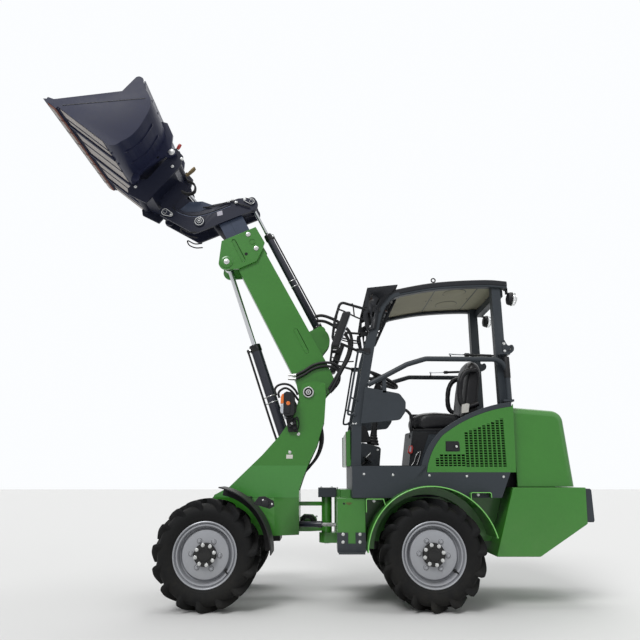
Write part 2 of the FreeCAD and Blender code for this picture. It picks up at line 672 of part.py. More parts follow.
def seat():
    deck_top = S.deckTop + 0.3
    base = [(-660, deck_top), (-700, 1290), (-1140, 1290), (-1140, deck_top)]
    node("seat_base", plate(base, -225, 225), frame_at)
    cushion = [(-735, 1290.3), (-722, 1400), (-770, 1440, -735, 1432), (-1113, 1425),
               (-1125, 1290.3)]
    node("seat_cushion", plate(cushion, -225, 225), frame_at)
    back = [(-1125.5, 1290.3), (-1113.5, 1426), (-1160, 1700), (-1195, 1851), (-1270, 1870, -1240, 1885),
            (-1310, 1800), (-1245, 1430), (-1245, 1290.3)]
    node("seat_back", plate(back, -215, 215), frame_at)
    low = S.deckTop + 0.3
    console = box((-1080, -330, low), (-760, -230.5, 1470))
    stick = cyl(14, 130, (-800, -280, 1535), (0.1, 0, 1))
    node("seat_console", fuse(console, stick), frame_at)
    hoop = [(-1240, 1790), (-1150, 1765), (-1104, 1665), (-1099, 1550), (-1140, 1480), (-1245, 1512)]
    y = 215 + S.seatGap + S.hoopRadius
    node("seat_hoops", [tube([(x, side * y, z) for x, z in hoop], S.hoopRadius, 55)
                        for side in (-1, 1)], frame_at)


def doors():
    """The cab's side rails: a bent tube with a plate, turning on upright pins at the rear posts."""
    x = S.doorHingeX
    for label, side in (("left", 1), ("right", -1)):
        y = side * S.doorY
        bar = tube([(x, y, 1516.3), (x, y, 1838), (-790, y, 1843), (-640, y, 1798), (-326, y, 1634)],
                   S.doorTube, 110)
        low, high = sorted((y - S.doorPlate / 2, y + S.doorPlate / 2))
        sheet_part = plate([(-308, 1620), (-589, 1549), (-612, 1491), (-610, 1437), (-556, 1359),
                            (-261, 1329)], low, high)
        stay = box((-470, low, 1570), (-440, high, 1700))
        upright = cyl(13, 180, (x, y, 1780), (0, 0, 1))
        post_pin = cyl(8, 60, (x, y, 1862), (0, 0, 1))
        foot_pin = cyl(8, 36, (x, y, 1508), (0, 0, 1))
        stud = cyl(5, 26, (-996, y - side * 22, 1864.7), (0, 0, 1))
        stud_base = box((-1010, min(y, y - side * 34), 1840), (-982, max(y, y - side * 34), 1856))
        node("side_rail_" + label,
             fuse(bar, sheet_part, stay, upright, post_pin, foot_pin, stud, stud_base), frame_at)
        ram("rail_strut_" + label, (-1350, side * 384.0, 1884), (-996, side * (S.doorY - 22), 1884),
            frame_at, (235, 11, 12, 12, 5), (5, 175), (0, 0, 1))


def mirrors():
    parts = []
    bodies = []
    for side in (-1, 1):
        y = side * 430.0
        outer = side * 520.0
        parts.append(tube([(-330, y, 2262), (-110, outer, 2301), (-64, outer, 2150),
                           (-43, outer, 1985), (-250, y, 1915)], 11, 40))
        clamp = S.frontPostY + S.postSection / 2 + S.seatGap
        low, high = sorted((side * clamp, side * (clamp + S.mirrorClamp)))
        parts.append(box((-440, low, 2240), (-318, high, 2284)))
        parts.append(box((-350, low, 1897), (-240, high, 1933)))
        low, high = sorted((side * 515.0, side * 531.0))
        parts.append(box((-130, low, 2090), (-50, high, 2120)))
        parts.append(box((-95, low, 1990), (-40, high, 2015)))
        body = [(-125, 2185), (-190, 2185), (-90, 1901), (-26, 1901)]
        low, high = sorted((side * 531.3, side * (531.3 + S.mirrorWidth)))
        bodies.append(plate(body, low, high))
    node("mirror_arms", parts, frame_at)
    node("mirrors", bodies, frame_at)


def visor():
    """The lamp guard in front of the roof: two side sheets and a top."""
    near = S.frontPostY + S.postSection / 2 + S.mirrorClamp + 2 * S.seatGap
    far = near + S.visorSheet
    side = [(-336, 2440), (-590, 2468), (-431, 2275), (-400, 2098), (-330, 2072), (-296, 2198)]
    top = [(-336, 2440), (-336, 2444), (-586, 2472), (-590, 2468)]
    sheets = fuse(both(side, near, far), plate(top, 0.0 - far, far))
    passage = box((-335, 0.0 - far - 1, 2246), (-290, far + 1, 2279))
    node("visor", cut(sheets, passage), frame_at)


def lamps():
    rear = []
    for side in (-1, 1):
        low, high = sorted((side * 320.0, side * 425.0))
        rear.append(box((-1575, low, 2296), (-1501.3, high, 2434)))
    node("rear_lamps", rear, frame_at)
    front = []
    for side in (-1, 1):
        low, high = sorted((side * (S.towerHalf + 0.3), side * 300.0))
        front.append(box((256, low, 1401), (379, high, 1612)))
        low, high = sorted((side * (S.towerHalf + 0.3), side * 215.0))
        front.append(plate([(234, 1281), (315, 1281), (340, 1401), (256, 1401)], low, high))
    node("headlamps", front, frame_at)


# Front frame

def front_frame():
    half = S.towerHalf
    inner = half - S.towerPlate
    side = [(206, 1680), (13, 1688, 110, 1705), (5, 1588), (18, 1381), (79, 1179), (136, 1060),
            (192, 919), (223, 826), (221, 486), (409, 479), (700, 500), (1000, 500), (1010, 600),
            (900, 790), (785, 849), (526, 1100), (383, 1260), (254, 1447), (246, 1505)]
    plates = both(side, inner, half)
    parts = [plates]
    parts.append(box((223, -inner, 486), (260, inner, 820)))
    parts.append(box((260, -inner, 500), (980, inner, 522)))
    parts.append(box((880, -inner, 522), (910, inner, 700)))
    parts.append(plate([(760, 851), (526, 1075), (502, 1060), (740, 830)], -inner, inner))
    # Column round the steering pin and the web that carries it.
    low = S.lowerLugBase + S.lowerLugThick + S.seatGap
    high = S.upperLugBase - S.seatGap
    parts.append(cyl(S.columnRadius, high - low, (0, 0, (low + high) / 2), (0, 0, 1)))
    parts.append(box((0, -30, 699), (223, 30, 730)))
    parts.append(plate([(223, 500), (223, 560), (0, 560), (0, 505), (120, 500)], -30, 30))
    x, y, z = S.steerBaseX, S.steerBaseY, S.steerRamZ
    tools = [cyl(S.steerPinRadius + S.seatGap, 700, (0, 0, 600), (0, 0, 1)),
             box((210, 30, z - 40), (262, inner, z + 40))]
    tools.append(cyl(35 + S.seatGap, 2 * half + 2, (S.boomPivotX, 0, S.boomPivotZ)))
    tools.append(cyl(S.liftHoleRadius, 2 * half + 2, (S.liftHoleX, 0, S.liftHoleZ)))
    # A notch in the sloping front plate for the lowered lift ram.
    tools.append(box((480, -62, 925), (660, 62, 1110)))
    solid = cut(fuse(parts), tools)
    pin = cyl(24, 2 * half, (S.liftBaseX, 0, S.liftBaseZ))
    ram_base = box((x - 18, y - 28, 520), (x + 24, y + 28, z - S.steerEyeHalf - S.seatGap))
    ram_pin = cyl(12, 2 * S.steerEyeHalf + 14, (x, y, z), (0, 0, 1))
    node("front_frame", fuse(solid, pin, ram_base, ram_pin), frame_at)
    node("arm_pin", cut(fuse(cyl(35, 2 * half + 16, (S.boomPivotX, 0, S.boomPivotZ)),
                             [cyl(46, 8, (S.boomPivotX, s * (half + 4.3), S.boomPivotZ))
                              for s in (-1, 1)]),
                        cyl(6, 500, (S.boomPivotX, 0, S.boomPivotZ))), frame_at)


# Arm

def stub_pins(radius, near, far, at):
    """A pin's two ends, from y = near to y = far on each side."""
    return [cyl(radius, far - near, (at[0], side * (near + far) * 0.5, at[1])) for side in (-1, 1)]


def outer_arm():
    half = S.boomHalf
    body_in = half - S.boomSide
    low, high, skin = S.boomLow, S.boomHigh, S.boomSkin
    side = [(0, -88, -62, -62), (140, low), (1300, low), (1300, high), (172, high + 22), (33, 251),
            (-32, 246), (-90, 100), (-88, 0)]
    head = [(1580, -70), (1562, 262), (1392, 268), (1338, 222), (1264, 128), (1272, low),
            (1308, -130), (1400, -184, 1338, -176)]
    ear = [(240, high), (285, 330), (S.ramTailAlong, 388, 350, 386), (490, 338, 478, 380),
           (490, high)]
    parts = [both(side, body_in, half), both(head, half, half + S.headPlate)]
    parts.append(plate([(60, high - skin), (60, high), (1555, high), (1555, high - skin)],
                       -body_in, body_in))
    parts.append(plate([(60, low), (60, low + skin), (1270, low + skin), (1270, low)],
                       -body_in, body_in))
    parts.append(both([(1300, low), (1300, high), (1560, high), (1575, low)], body_in, half))
    parts.append(both(ear, 34, 54))
    # Wear pads that the inner arm slides on.
    gap = S.seatGap
    parts.append(plate([(1440, S.innerHigh + gap), (1440, high - skin), (1550, high - skin),
                        (1550, S.innerHigh + gap)], -90, 90))
    parts.append(plate([(1150, low + skin), (1150, S.innerLow - gap), (1262, S.innerLow - gap),
                        (1262, low + skin)], -90, 90))
    parts.append(both([(1440, 20), (1440, 180), (1550, 180), (1550, 20)], S.innerHalf + gap, body_in))
    boss = cyl(70, 2 * half + 46)
    face = half + S.headPlate
    groove = [(1326, 12), (1533, 12), (1533, 40, 1547, 26), (1326, 40)]
    groove[0] = (1326, 12, 1312, 26)
    marks = [both(groove, face - 5, face + 5), cyl(13, 700, (1366, 0, 73))]
    solid = cut(fuse(parts, boss), cyl(35 + gap, 700), marks)
    # The lift ram's upper pin, in two stubs that leave its rod's eye free between them.
    reach = half + S.headPlate + 6
    stubs = stub_pins(24, S.ramEyeHalf + gap, reach, (S.liftEyeAlong, S.liftEyeAcross))
    tail_pin = cyl(18, 108, (S.ramTailAlong, 0, S.ramLineAcross))
    node("outer_arm", fuse(solid, stubs, tail_pin), arm_at)


def inner_arm():
    half = S.innerHalf
    wall = S.innerWall
    low, high = S.innerLow, S.innerHigh
    tail, nose = S.innerTail, S.innerNose
    shell = plate([(tail, low), (tail, high), (nose, high), (nose, low)], -half, half)
    core = plate([(tail - 10, low + wall), (tail - 10, high - wall), (nose + 10, high - wall),
                  (nose + 10, low + wall)], -half + wall, half - wall)
    slot = plate([(1365, low - 10), (1365, low + wall + 5), (nose + 10, low + wall + 5),
                  (nose + 10, low - 10)], -half + wall, half - wall)
    pin = cyl(18, 2 * (half - wall) + 4, (S.tiltBaseAlong, 0, S.tiltBaseAcross))
    node("inner_arm", fuse(cut(shell, core, slot), pin), arm_at)
    side = [(1732, 338), (1815, 383, 1755, 372), (1860, 345, 1848, 374), (1902, 245), (1915, 142),
            (1939, -96, 1914, 20), (2061, -297, 1985, -214), (2120, -385, 2094, -332),
            (2080, -460, 2128, -448), (1779, -264), (1770, -229)]
    plates = both(side, half, half + S.headSide)
    inner_web = both([(1760, high), (1845, 262), (1902, 245), (1990, -73), (2148, -192),
                      (2158, -232), (2103, -318), (1978, -206), (1900, -120), (1791, low), (1790.3, high)],
                     half - wall, half)
    ears = [both([(1760, 300), (1815, 378, 1770, 366), (1855, 338, 1848, 372), (1850, 215),
                  (1792, 215)], 30, 50)]
    cross = plate([(1792, 206), (1792, 216), (1860, 232), (1895, 232), (1895, 216)], -half, half)
    pins = [cyl(18, 2 * (half + S.headSide) + 14, (S.ramHeadAlong, 0, S.ramLineAcross))]
    stubs = [cyl(24, half + S.headSide + 12 - 52,
                 (S.tiltPivotAlong, s * (52 + half + S.headSide + 12) / 2, S.tiltPivotAcross))
             for s in (-1, 1)]
    big = [cyl(46, 10, (1852, s * (half + S.headSide + 5), -170)) for s in (-1, 1)]
    node("arm_head", fuse(plates, cross, pins, stubs, big, ears, inner_web), arm_at)


def rams():
    ram("lift_ram", (S.liftBaseX, 0, S.liftBaseZ),
        tuple(arm_at.multVec(Vector(S.liftEyeAlong, 0, S.liftEyeAcross))
              - Vector(S.pivotX, 0, 0)), frame_at,
        (1002, 46, 46, 2 * S.ramEyeHalf, 24), (22, 130))
    ram("telescope_ram", (S.ramTailAlong, 0, S.ramLineAcross), (S.ramHeadAlong, 0, S.ramLineAcross),
        arm_at, (1068, 32, 34, 50, 18), (15, 790))
    tilt = arm_at.inverse().multVec(coupler_at.multVec(Vector(S.tiltPinX, 0, S.tiltPinZ)))
    ram("tilt_ram", (S.tiltBaseAlong, 0, S.tiltBaseAcross), tuple(tilt), arm_at,
        (640, 38, 36, 2 * S.ramEyeHalf, 18), (20, 262))
    ram("steering_ram", (S.steerBaseX, S.steerBaseY, S.steerRamZ),
        (S.steerEyeX, S.steerEyeY, S.steerRamZ), frame_at,
        (250, 22, 26, 2 * S.steerEyeHalf, 12), (14, 86), (0, 0, 1))


def coupler():
    low, high = S.earIn, S.earOut
    ear = [(0, -46, -32, -32), (46, 0, 32, -32), (150, 60), (150, 330), (24, 345),
           (-22, 299, -10, 332), (-46, 0)]
    parts = [both(ear, low, high)]
    plate_line = [(150, -60), (330, -95), (372, -60), (372, 60), (300, 120), (300, 400),
                  (330, 470), (300, 520), (200, 500), (150, 400)]
    parts.append(both(plate_line, S.couplerHalf - S.couplerPlate, S.couplerHalf))
    inner = S.couplerHalf - S.couplerPlate
    parts.append(box((150, -inner, 20), (175, inner, 330)))
    parts.append(cyl(38, 2 * inner + 10, (S.hookX, 0, S.hookZ)))
    parts.append(cyl(S.hookRadius, 2 * (S.couplerHalf + S.bucketRib + 8), (S.hookX, 0, S.hookZ)))
    parts.append(cyl(34, 2 * inner + 10, (320, 0, -20)))
    parts.append(plate([(170, 300), (170, 330), (285, 470), (300, 440)], -inner, inner))
    parts.append(plate([(170, 20), (170, 50), (310, 5), (310, -25)], -inner, inner))
    bosses = stub_pins(40, high, S.innerHalf - S.innerWall - S.seatGap, (0, 0))
    holes = [cyl(24 + S.seatGap, 400)]
    stubs = stub_pins(18, S.ramEyeHalf + S.seatGap, high + 6, (S.tiltPinX, S.tiltPinZ))
    node("coupler", fuse(cut(fuse(parts, bosses), holes), stubs), coupler_at)


def bucket():
    half = S.bucketHalf
    wall = S.bucketWall
    reach = S.bucketReach
    shell = [(reach - 40, 0), (30, 0), (-60, 90, -34, 26), (-92, 230, -86, 160),
             (-60, 400, -82, 318), (110, 582, -10, 510), (180, 650), (188, 640), (118, 572),
             (-48, 396, 0, 502), (-80, 230, -70, 314), (-49, 94, -74, 162), (36, wall, -24, 36),
             (reach - 40, wall)]
    side = [(reach - 20, 0), (30, 0), (-60, 90, -34, 26), (-92, 230, -86, 160),
            (-60, 400, -82, 318), (110, 582, -10, 510), (190, 636), (222, 652, 200, 648),
            (262, 612, 252, 640), (262, 449), (661, 33), (reach - 20, 16)]
    parts = [plate(shell, -half + wall, half - wall)]
    parts.append(both(side, half - wall, half))
    edge = [(reach - S.edgeDepth, -S.edgeThick), (reach - S.edgeDepth, 0), (reach - 26, 0),
            (reach, -S.edgeThick + 4), (reach, -S.edgeThick)]
    parts.append(plate(edge, -half, half))
    for y in (-480, 0, 480):
        parts.append(plate([(40, -18), (40, 0), (reach - S.edgeDepth, 0), (reach - S.edgeDepth, -18)],
                           y - 20, y + 20))
    # Brackets on the back that hook on the coupler.
    rib = [(-40, 60), (-70, -20), (-110, -40), (-128, 20), (-100, 60), (-92, 120), (-150, 350),
           (-200, 380), (-215, 420), (-176, 458), (-140, 450), (-60, 560), (60, 620), (110, 600),
           (110, 582), (-60, 400, -10, 510), (-92, 230, -82, 318), (-60, 90, -86, 160)]
    near = S.couplerHalf + S.seatGap
    parts.append(both(rib, near, near + S.bucketRib))
    hook = cyl(S.hookRadius + S.seatGap, 700, (S.hookX - S.couplerReach, 0, S.hookZ - S.couplerRise))
    node("bucket", cut(fuse(parts), hook), bucket_at)


rear_frame()
steps()
deck()
weight()
battery()
side_panels()
node("panel_bands", both(BAND, S.deckHalf - S.deckSheet, S.deckHalf - 4), frame_at)
hood()
cab()
cowl()
seat()
doors()
mirrors()
visor()
lamps()
front_frame()
axle("front_axle", S.frontReach, S.tyreRadius + 40, 500, 150)
axle("rear_axle", -S.rearReach, S.tyreRadius + 40, 446, 240)
fender("rear_fenders", -S.rearReach, 2, 166)
fender("front_fenders", S.frontReach, 100, 180, (617, 764))
outer_arm()
inner_arm()
rams()
coupler()
bucket()
for wheel_stem, wheel_reach, wheel_side in (
        ("front_left", S.frontReach, 1), ("front_right", S.frontReach, -1),
        ("rear_left", -S.rearReach, 1), ("rear_right", -S.rearReach, -1)):
    wheel(wheel_stem, wheel_reach, wheel_side)

doc.recompute()
for obj in doc.Objects:
    if "Invalid" in obj.State or "Error" in obj.State:
        raise RuntimeError("%s failed: %s" % (obj.Name, obj.State))
os.makedirs("parts", exist_ok=True)
for obj in nodes:
    shape = obj.Shape
    if shape.isNull() or not shape.isValid() or not shape.Solids:
        raise RuntimeError("%s has no sound solid" % obj.Label)
for obj in nodes:
    obj.Shape.exportStep("parts/%s.step" % obj.Label)
    print("%-22s solids %d volume %.1f l" % (obj.Label, len(obj.Shape.Solids), obj.Shape.Volume / 1e6))
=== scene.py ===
import json
import math
import bmesh
import bpy
import numpy as np
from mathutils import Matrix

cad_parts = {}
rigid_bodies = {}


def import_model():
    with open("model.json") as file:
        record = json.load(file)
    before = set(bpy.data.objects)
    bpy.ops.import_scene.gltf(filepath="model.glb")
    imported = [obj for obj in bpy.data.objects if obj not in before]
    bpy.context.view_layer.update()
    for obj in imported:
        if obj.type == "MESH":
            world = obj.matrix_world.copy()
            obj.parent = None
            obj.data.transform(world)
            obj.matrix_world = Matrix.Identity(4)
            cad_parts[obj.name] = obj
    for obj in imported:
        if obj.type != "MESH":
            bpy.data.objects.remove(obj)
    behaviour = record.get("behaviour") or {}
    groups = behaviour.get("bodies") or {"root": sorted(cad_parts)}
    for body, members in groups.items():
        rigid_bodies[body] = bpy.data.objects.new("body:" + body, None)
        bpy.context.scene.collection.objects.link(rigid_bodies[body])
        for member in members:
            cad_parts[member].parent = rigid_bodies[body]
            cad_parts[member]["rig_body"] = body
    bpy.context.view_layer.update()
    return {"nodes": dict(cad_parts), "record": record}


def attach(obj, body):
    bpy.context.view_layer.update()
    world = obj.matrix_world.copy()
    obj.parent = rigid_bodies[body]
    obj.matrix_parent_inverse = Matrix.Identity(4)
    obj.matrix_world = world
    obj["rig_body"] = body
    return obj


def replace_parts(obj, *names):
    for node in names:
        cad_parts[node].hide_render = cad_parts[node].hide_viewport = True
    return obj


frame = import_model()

# Places: a is millimetres ahead of the steering pivot, s and r lie along and across the arm.
PIVOT = -0.201
ARM_X, ARM_Z, ARM_RISE = -0.049, 1.612, math.radians(62.6)
WHEEL_Z = 0.387
TRACK = 0.5
AXLES = {"front": 0.68, "rear": -0.964}
OUT, UP = (0, 1, 0), (0, 0, 1)


def row(a):
    """Metres along the machine of a point a millimetres from the steering pivot."""
    return PIVOT + a / 1000


def at(a, y, z):
    """A point from a and z in millimetres, y in metres."""
    return (row(a), y, z / 1000)


def level(y, *points):
    """Points of one y from their a and z in millimetres."""
    return [at(a, y, z) for a, z in points]


def arm(s, r, y=0.0):
    """A point on the arm, millimetres along and across it, y in metres."""
    s, r = s / 1000, r / 1000
    c, n = math.cos(ARM_RISE), math.sin(ARM_RISE)
    return (ARM_X + s * c - r * n, y, ARM_Z + s * n + r * c)


# Camera

camera_data = bpy.data.cameras.new("camera")
camera_data.lens = 33.47
camera_data.sensor_width = 36
camera_data.clip_end = 200
camera = bpy.data.objects.new("camera", camera_data)
camera.location = (-0.146, 5.154, 0.934)
camera.rotation_euler = (math.radians(104.7), 0, math.radians(180))
bpy.context.scene.collection.objects.link(camera)
bpy.context.scene.camera = camera


# Shader helpers

def rgb(r, g, b):
    """A linear colour from its 0 to 255 values."""
    values = np.array([r, g, b]) / 255
    line = np.where(values <= 0.04045, values / 12.92, ((values + 0.055) / 1.055) ** 2.4)
    return (*line.tolist(), 1.0)


def add(tree, kind, **sockets):
    """A shader node with its inputs set; a pair (node, output) becomes a link."""
    node = tree.nodes.new(kind)
    for key, value in sockets.items():
        if key.startswith("_"):
            setattr(node, key[1:], value)
            continue
        numbered = key[0] == "i" and key[1:].isdigit()
        spot = node.inputs[int(key[1:]) if numbered else key.replace("_", " ")]
        if isinstance(value, tuple) and len(value) == 2 and hasattr(value[0], "outputs"):
            tree.links.new(value[0].outputs[value[1]], spot)
        else:
            spot.default_value = value
    return node


def calc(tree, operation, first, second, third=None, clamp=False):
    """A maths node of two or three inputs."""
    more = {} if third is None else {"i2": third}
    return add(tree, "ShaderNodeMath", _operation=operation, _use_clamp=clamp, i0=first, i1=second,
        **more)


def new_group(name, inputs, outputs):
    """An empty shader group with named inputs (kind, default) and outputs."""
    tree = bpy.data.node_groups.new(name, "ShaderNodeTree")
    for label, (kind, default) in inputs.items():
        socket = tree.interface.new_socket(label, in_out="INPUT", socket_type=kind)
        socket.default_value = default
    for label, kind in outputs.items():
        tree.interface.new_socket(label, in_out="OUTPUT", socket_type=kind)
    return tree, tree.nodes.new("NodeGroupInput"), tree.nodes.new("NodeGroupOutput")


FLOAT, COLOR, VECTOR = "NodeSocketFloat", "NodeSocketColor", "NodeSocketVector"


def build_finish():
    """The shared finish. Colour = base, mottled by two noises, with dust on what faces up and low
    down; roughness rises with the dust; the normal carries a fine grain."""
    tree, source, sink = new_group("finish", {"Color": (COLOR, (0.5, 0.5, 0.5, 1)), "Dust Color":
        (COLOR, rgb(150, 142, 122)), "Dust": (FLOAT, 0.2), "Mottle": (FLOAT, 0.12), "Rough":
        (FLOAT, 0.4), "Grain Scale": (FLOAT, 400.0), "Grain": (FLOAT, 0.1)},
        {"Color": COLOR, "Roughness": FLOAT, "Normal": VECTOR})
    place = add(tree, "ShaderNodeTexCoord")

    def noise(**sockets):
        """A noise over the object's own coordinates."""
        return add(tree, "ShaderNodeTexNoise", Vector=(place, "Object"), **sockets)

    def spread(value, low, high, to_low, to_high):
        """A value mapped from one range to another."""
        return add(tree, "ShaderNodeMapRange", Value=value, From_Min=low, From_Max=high,
            To_Min=to_low, To_Max=to_high)

    broad = noise(Scale=2.3, Detail=5.0, Roughness=0.6)
    fine = noise(Scale=38.0, Detail=6.0, Roughness=0.7)
    shade = spread((calc(tree, "ADD", (broad, 0), (fine, 0)), 0), 0.7, 1.3, -1.0, 1.0)
    amount = calc(tree, "MULTIPLY_ADD", (shade, 0), (source, "Mottle"), 1.0)
    tone = add(tree, "ShaderNodeVectorMath", _operation="SCALE", i0=(source, "Color"),
        Scale=(amount, 0))
    facing = add(tree, "ShaderNodeNewGeometry")
    up = add(tree, "ShaderNodeSeparateXYZ", Vector=(facing, "Normal"))
    level_of = add(tree, "ShaderNodeSeparateXYZ", Vector=(place, "Object"))
    most = calc(tree, "MAXIMUM", (spread((up, 2), 0.3, 1.0, 0.0, 1.0), 0),
        (spread((level_of, 2), 0.75, 0.05, 0.0, 0.9), 0))
    patch = spread((noise(Scale=9.0, Detail=8.0, Roughness=0.75), 0), 0.38, 0.68, 0.15, 1.0)
    dusty = calc(tree, "MULTIPLY", (most, 0), (patch, 0))
    mask = calc(tree, "MULTIPLY", (dusty, 0), (source, "Dust"), clamp=True)
    mixed = add(tree, "ShaderNodeMix", _data_type="RGBA", i0=(mask, 0), i6=(tone, 0),
        i7=(source, "Dust Color"))
    rough = calc(tree, "MULTIPLY_ADD", (shade, 0), 0.06, (source, "Rough"))
    dull = calc(tree, "MULTIPLY_ADD", (mask, 0), 0.35, (rough, 0), clamp=True)
    grain = noise(Scale=(source, "Grain Scale"), Detail=2.0)
    bump = add(tree, "ShaderNodeBump", Strength=(source, "Grain"), Distance=0.001,
        Height=(grain, 0))
    for name, output in (("Color", mixed.outputs[2]), ("Roughness", dull.outputs[0]),
            ("Normal", bump.outputs[0])):
        tree.links.new(output, sink.inputs[name])
    return tree


FINISH = build_finish()


def finish(name, color, rough=0.4, metallic=0.0, dust=0.2, mottle=0.1, grain=0.1, grain_scale=400.0,
        coat=0.0, emission=None, specular=0.5):
    """A material from the shared finish, with its own values."""
    material = bpy.data.materials.new(name)
    material.use_nodes = True
    tree = material.node_tree
    shader = tree.nodes["Principled BSDF"]
    look = tree.nodes.new("ShaderNodeGroup")
    look.node_tree = FINISH
    for key, value in {"Color": rgb(*color), "Dust": dust, "Mottle": mottle, "Rough": rough,
            "Grain Scale": grain_scale, "Grain": grain}.items():
        look.inputs[key].default_value = value
    for key, socket in (("Color", "Base Color"), ("Roughness", "Roughness"), ("Normal", "Normal")):
        tree.links.new(look.outputs[key], shader.inputs[socket])
    for key, value in {"Metallic": metallic, "Coat Weight": coat, "Coat Roughness": 0.15,
            "Specular IOR Level": specular}.items():
        shader.inputs[key].default_value = value
    if emission:
        shader.inputs["Emission Color"].default_value = emission[0]
        shader.inputs["Emission Strength"].default_value = emission[1]
    return material


GREEN = finish("green_paint", (46, 113, 30), 0.36, dust=0.12, mottle=0.06, coat=0.5, grain=0.04,
    specular=0.4)
# Bright green that paints the highlight along the sheet edges of the fenders and channels.
EDGE_HIGHLIGHT_GREEN = finish("painted_highlight_green", (112, 182, 92), 0.3, dust=0.0, coat=0.3)
GREY = finish("dark_grey_paint", (42, 48, 54), 0.45, dust=0.14, mottle=0.08, grain=0.3,
    grain_scale=900.0, specular=0.35)
# Flat black that paints the shade behind the grille's slots.
SHADE_BLACK = finish("painted_shade_black", (6, 6, 7), 0.95, dust=0.0, grain=0.1, specular=0.05)
BARREL = finish("barrel_paint", (30, 33, 44), 0.36, dust=0.04, mottle=0.06, grain=0.1)
ROOF = finish("roof_grey", (26, 28, 33), 0.45, dust=0.2, mottle=0.06, grain=0.3, grain_scale=900.0,
    specular=0.3)
BUCKET = finish("anthracite_paint", (28, 32, 57), 0.5, dust=0.12, mottle=0.14, grain=0.12,
    specular=0.3)
TUBE = finish("arm_tube_paint", (48, 58, 78), 0.42, dust=0.06, mottle=0.1, specular=0.35)
BLACK = finish("black_plastic", (24, 25, 28), 0.55, dust=0.1, mottle=0.15, grain=0.5,
    grain_scale=1500.0, specular=0.3)
GLOSS = finish("gloss_black", (14, 15, 17), 0.2, dust=0.04, mottle=0.1, grain=0.03, specular=0.4)
RUBBER = finish("tyre_rubber", (7, 8, 10), 0.72, dust=0.04, mottle=0.25, grain=0.5,
    grain_scale=700.0, specular=0.22)
HOSE = finish("hose_rubber", (20, 20, 23), 0.5, dust=0.05, mottle=0.2, grain=0.4,
    grain_scale=2200.0, specular=0.3)
SILVER = finish("rim_silver", (150, 152, 157), 0.36, 0.3, dust=0.12, mottle=0.05)
CHROME = finish("chrome", (205, 207, 211), 0.1, 1.0, dust=0.02, mottle=0.02, grain=0.02)
ZINC = finish("zinc", (206, 207, 206), 0.28, 0.7, dust=0.03, mottle=0.1, grain=0.2)
BRASS = finish("brass", (112, 98, 72), 0.45, 0.8, dust=0.05, mottle=0.1)
RED = finish("red_plastic", (170, 30, 22), 0.35, dust=0.05, coat=0.3)
PALE = finish("pale_plastic", (200, 198, 192), 0.4, dust=0.05)
AMBER = finish("amber_lens", (214, 106, 20), 0.16, dust=0.02, coat=0.8)
RED_LENS = finish("red_lens", (150, 20, 18), 0.15, dust=0.02, coat=0.8)
LENS = finish("clear_lens", (196, 200, 206), 0.08, 0.6, dust=0.02, mottle=0.04, coat=1.0)
MIRROR = finish("mirror_glass", (190, 196, 204), 0.04, 1.0, dust=0.05, mottle=0.02, grain=0.0)
LINING = finish("ceiling_lining", (142, 139, 120), 0.8, dust=0.02, grain=0.7, grain_scale=1800.0)
LEATHER = finish("seat_cover", (16, 16, 20), 0.36, dust=0.08, mottle=0.15, grain=0.6,
    grain_scale=1100.0, specular=0.35)
BAND_GREEN = finish("green_band", (58, 126, 50), 0.36, dust=0.12, mottle=0.06, coat=0.5, grain=0.04,
    specular=0.4)
# Pale blue that paints the highlight along the arm head's curved edge.
HIGHLIGHT_BLUE = finish("painted_highlight_blue", (104, 112, 136), 0.35, dust=0.0)
HEAD = finish("arm_head_paint", (20, 24, 42), 0.48, dust=0.06, mottle=0.1, specular=0.3)
TAG = finish("blank_tag", (170, 168, 178), 0.6, dust=0.05)
RUST = finish("worn_edge", (104, 54, 40), 0.6, dust=0.1, mottle=0.3)
STAIN = finish("rust_stain", (78, 84, 34), 0.7, dust=0.1, mottle=0.3)
STONE = finish("pale_edge", (160, 154, 150), 0.6, dust=0.1, mottle=0.15)


# Stage

def stage():
    """A plain pale floor, a soft key light, a fill, and a white surround."""
    bpy.ops.mesh.primitive_plane_add(size=80)
    floor = bpy.context.object
    floor.name = "floor"
    ground = bpy.data.materials.new("floor")
    ground.use_nodes = True
    shader = ground.node_tree.nodes["Principled BSDF"]
    shader.inputs["Base Color"].default_value = (0.56, 0.56, 0.555, 1)
    shader.inputs["Roughness"].default_value = 0.9
    floor.data.materials.append(ground)
    for name, power, turn, size in (("key", 1.9, (44, 0, 152), 24), ("fill", 0.5, (58, 0, 232), 60),
            ("back", 0.6, (50, 0, -20), 50), ("top", 1.3, (8, 4, 0), 40)):
        lamp = bpy.data.lights.new(name, "SUN")
        lamp.energy = power
        lamp.angle = math.radians(size)
        item = bpy.data.objects.new(name, lamp)
        item.rotation_euler = [math.radians(v) for v in turn]
        bpy.context.scene.collection.objects.link(item)
    world = bpy.data.worlds.new("world")
    bpy.context.scene.world = world
    world.use_nodes = True
    tree = world.node_tree
    tree.nodes.clear()
    seen = add(tree, "ShaderNodeLightPath")
    direct = calc(tree, "ADD", (seen, "Is Camera Ray"), (seen, "Is Transmission Ray"))
    any_ray = calc(tree, "MULTIPLY_ADD", (seen, "Is Glossy Ray"), 0.45, (direct, 0), clamp=True)
    power = add(tree, "ShaderNodeMapRange", Value=(any_ray, 0), To_Min=0.42, To_Max=1.0)
    light = add(tree, "ShaderNodeBackground", Color=(0.97, 0.985, 1.0, 1), Strength=(power, 0))
    out = add(tree, "ShaderNodeOutputWorld")
    tree.links.new(light.outputs[0], out.inputs[0])
    bpy.context.scene.view_settings.view_transform = "Standard"


stage()


# Mesh helpers

def mesh_of(name, points, faces, smooth=True):
    """A mesh object from an array of points and a list or array of faces."""
    mesh = bpy.data.meshes.new(name)
    mesh.from_pydata(np.asarray(points, float).reshape(-1, 3), [], [tuple(f) for f in faces])
    mesh.validate()
    mesh.polygons.foreach_set("use_smooth", [smooth] * len(mesh.polygons))
    item = bpy.data.objects.new(name, mesh)
    bpy.context.scene.collection.objects.link(item)
    return item


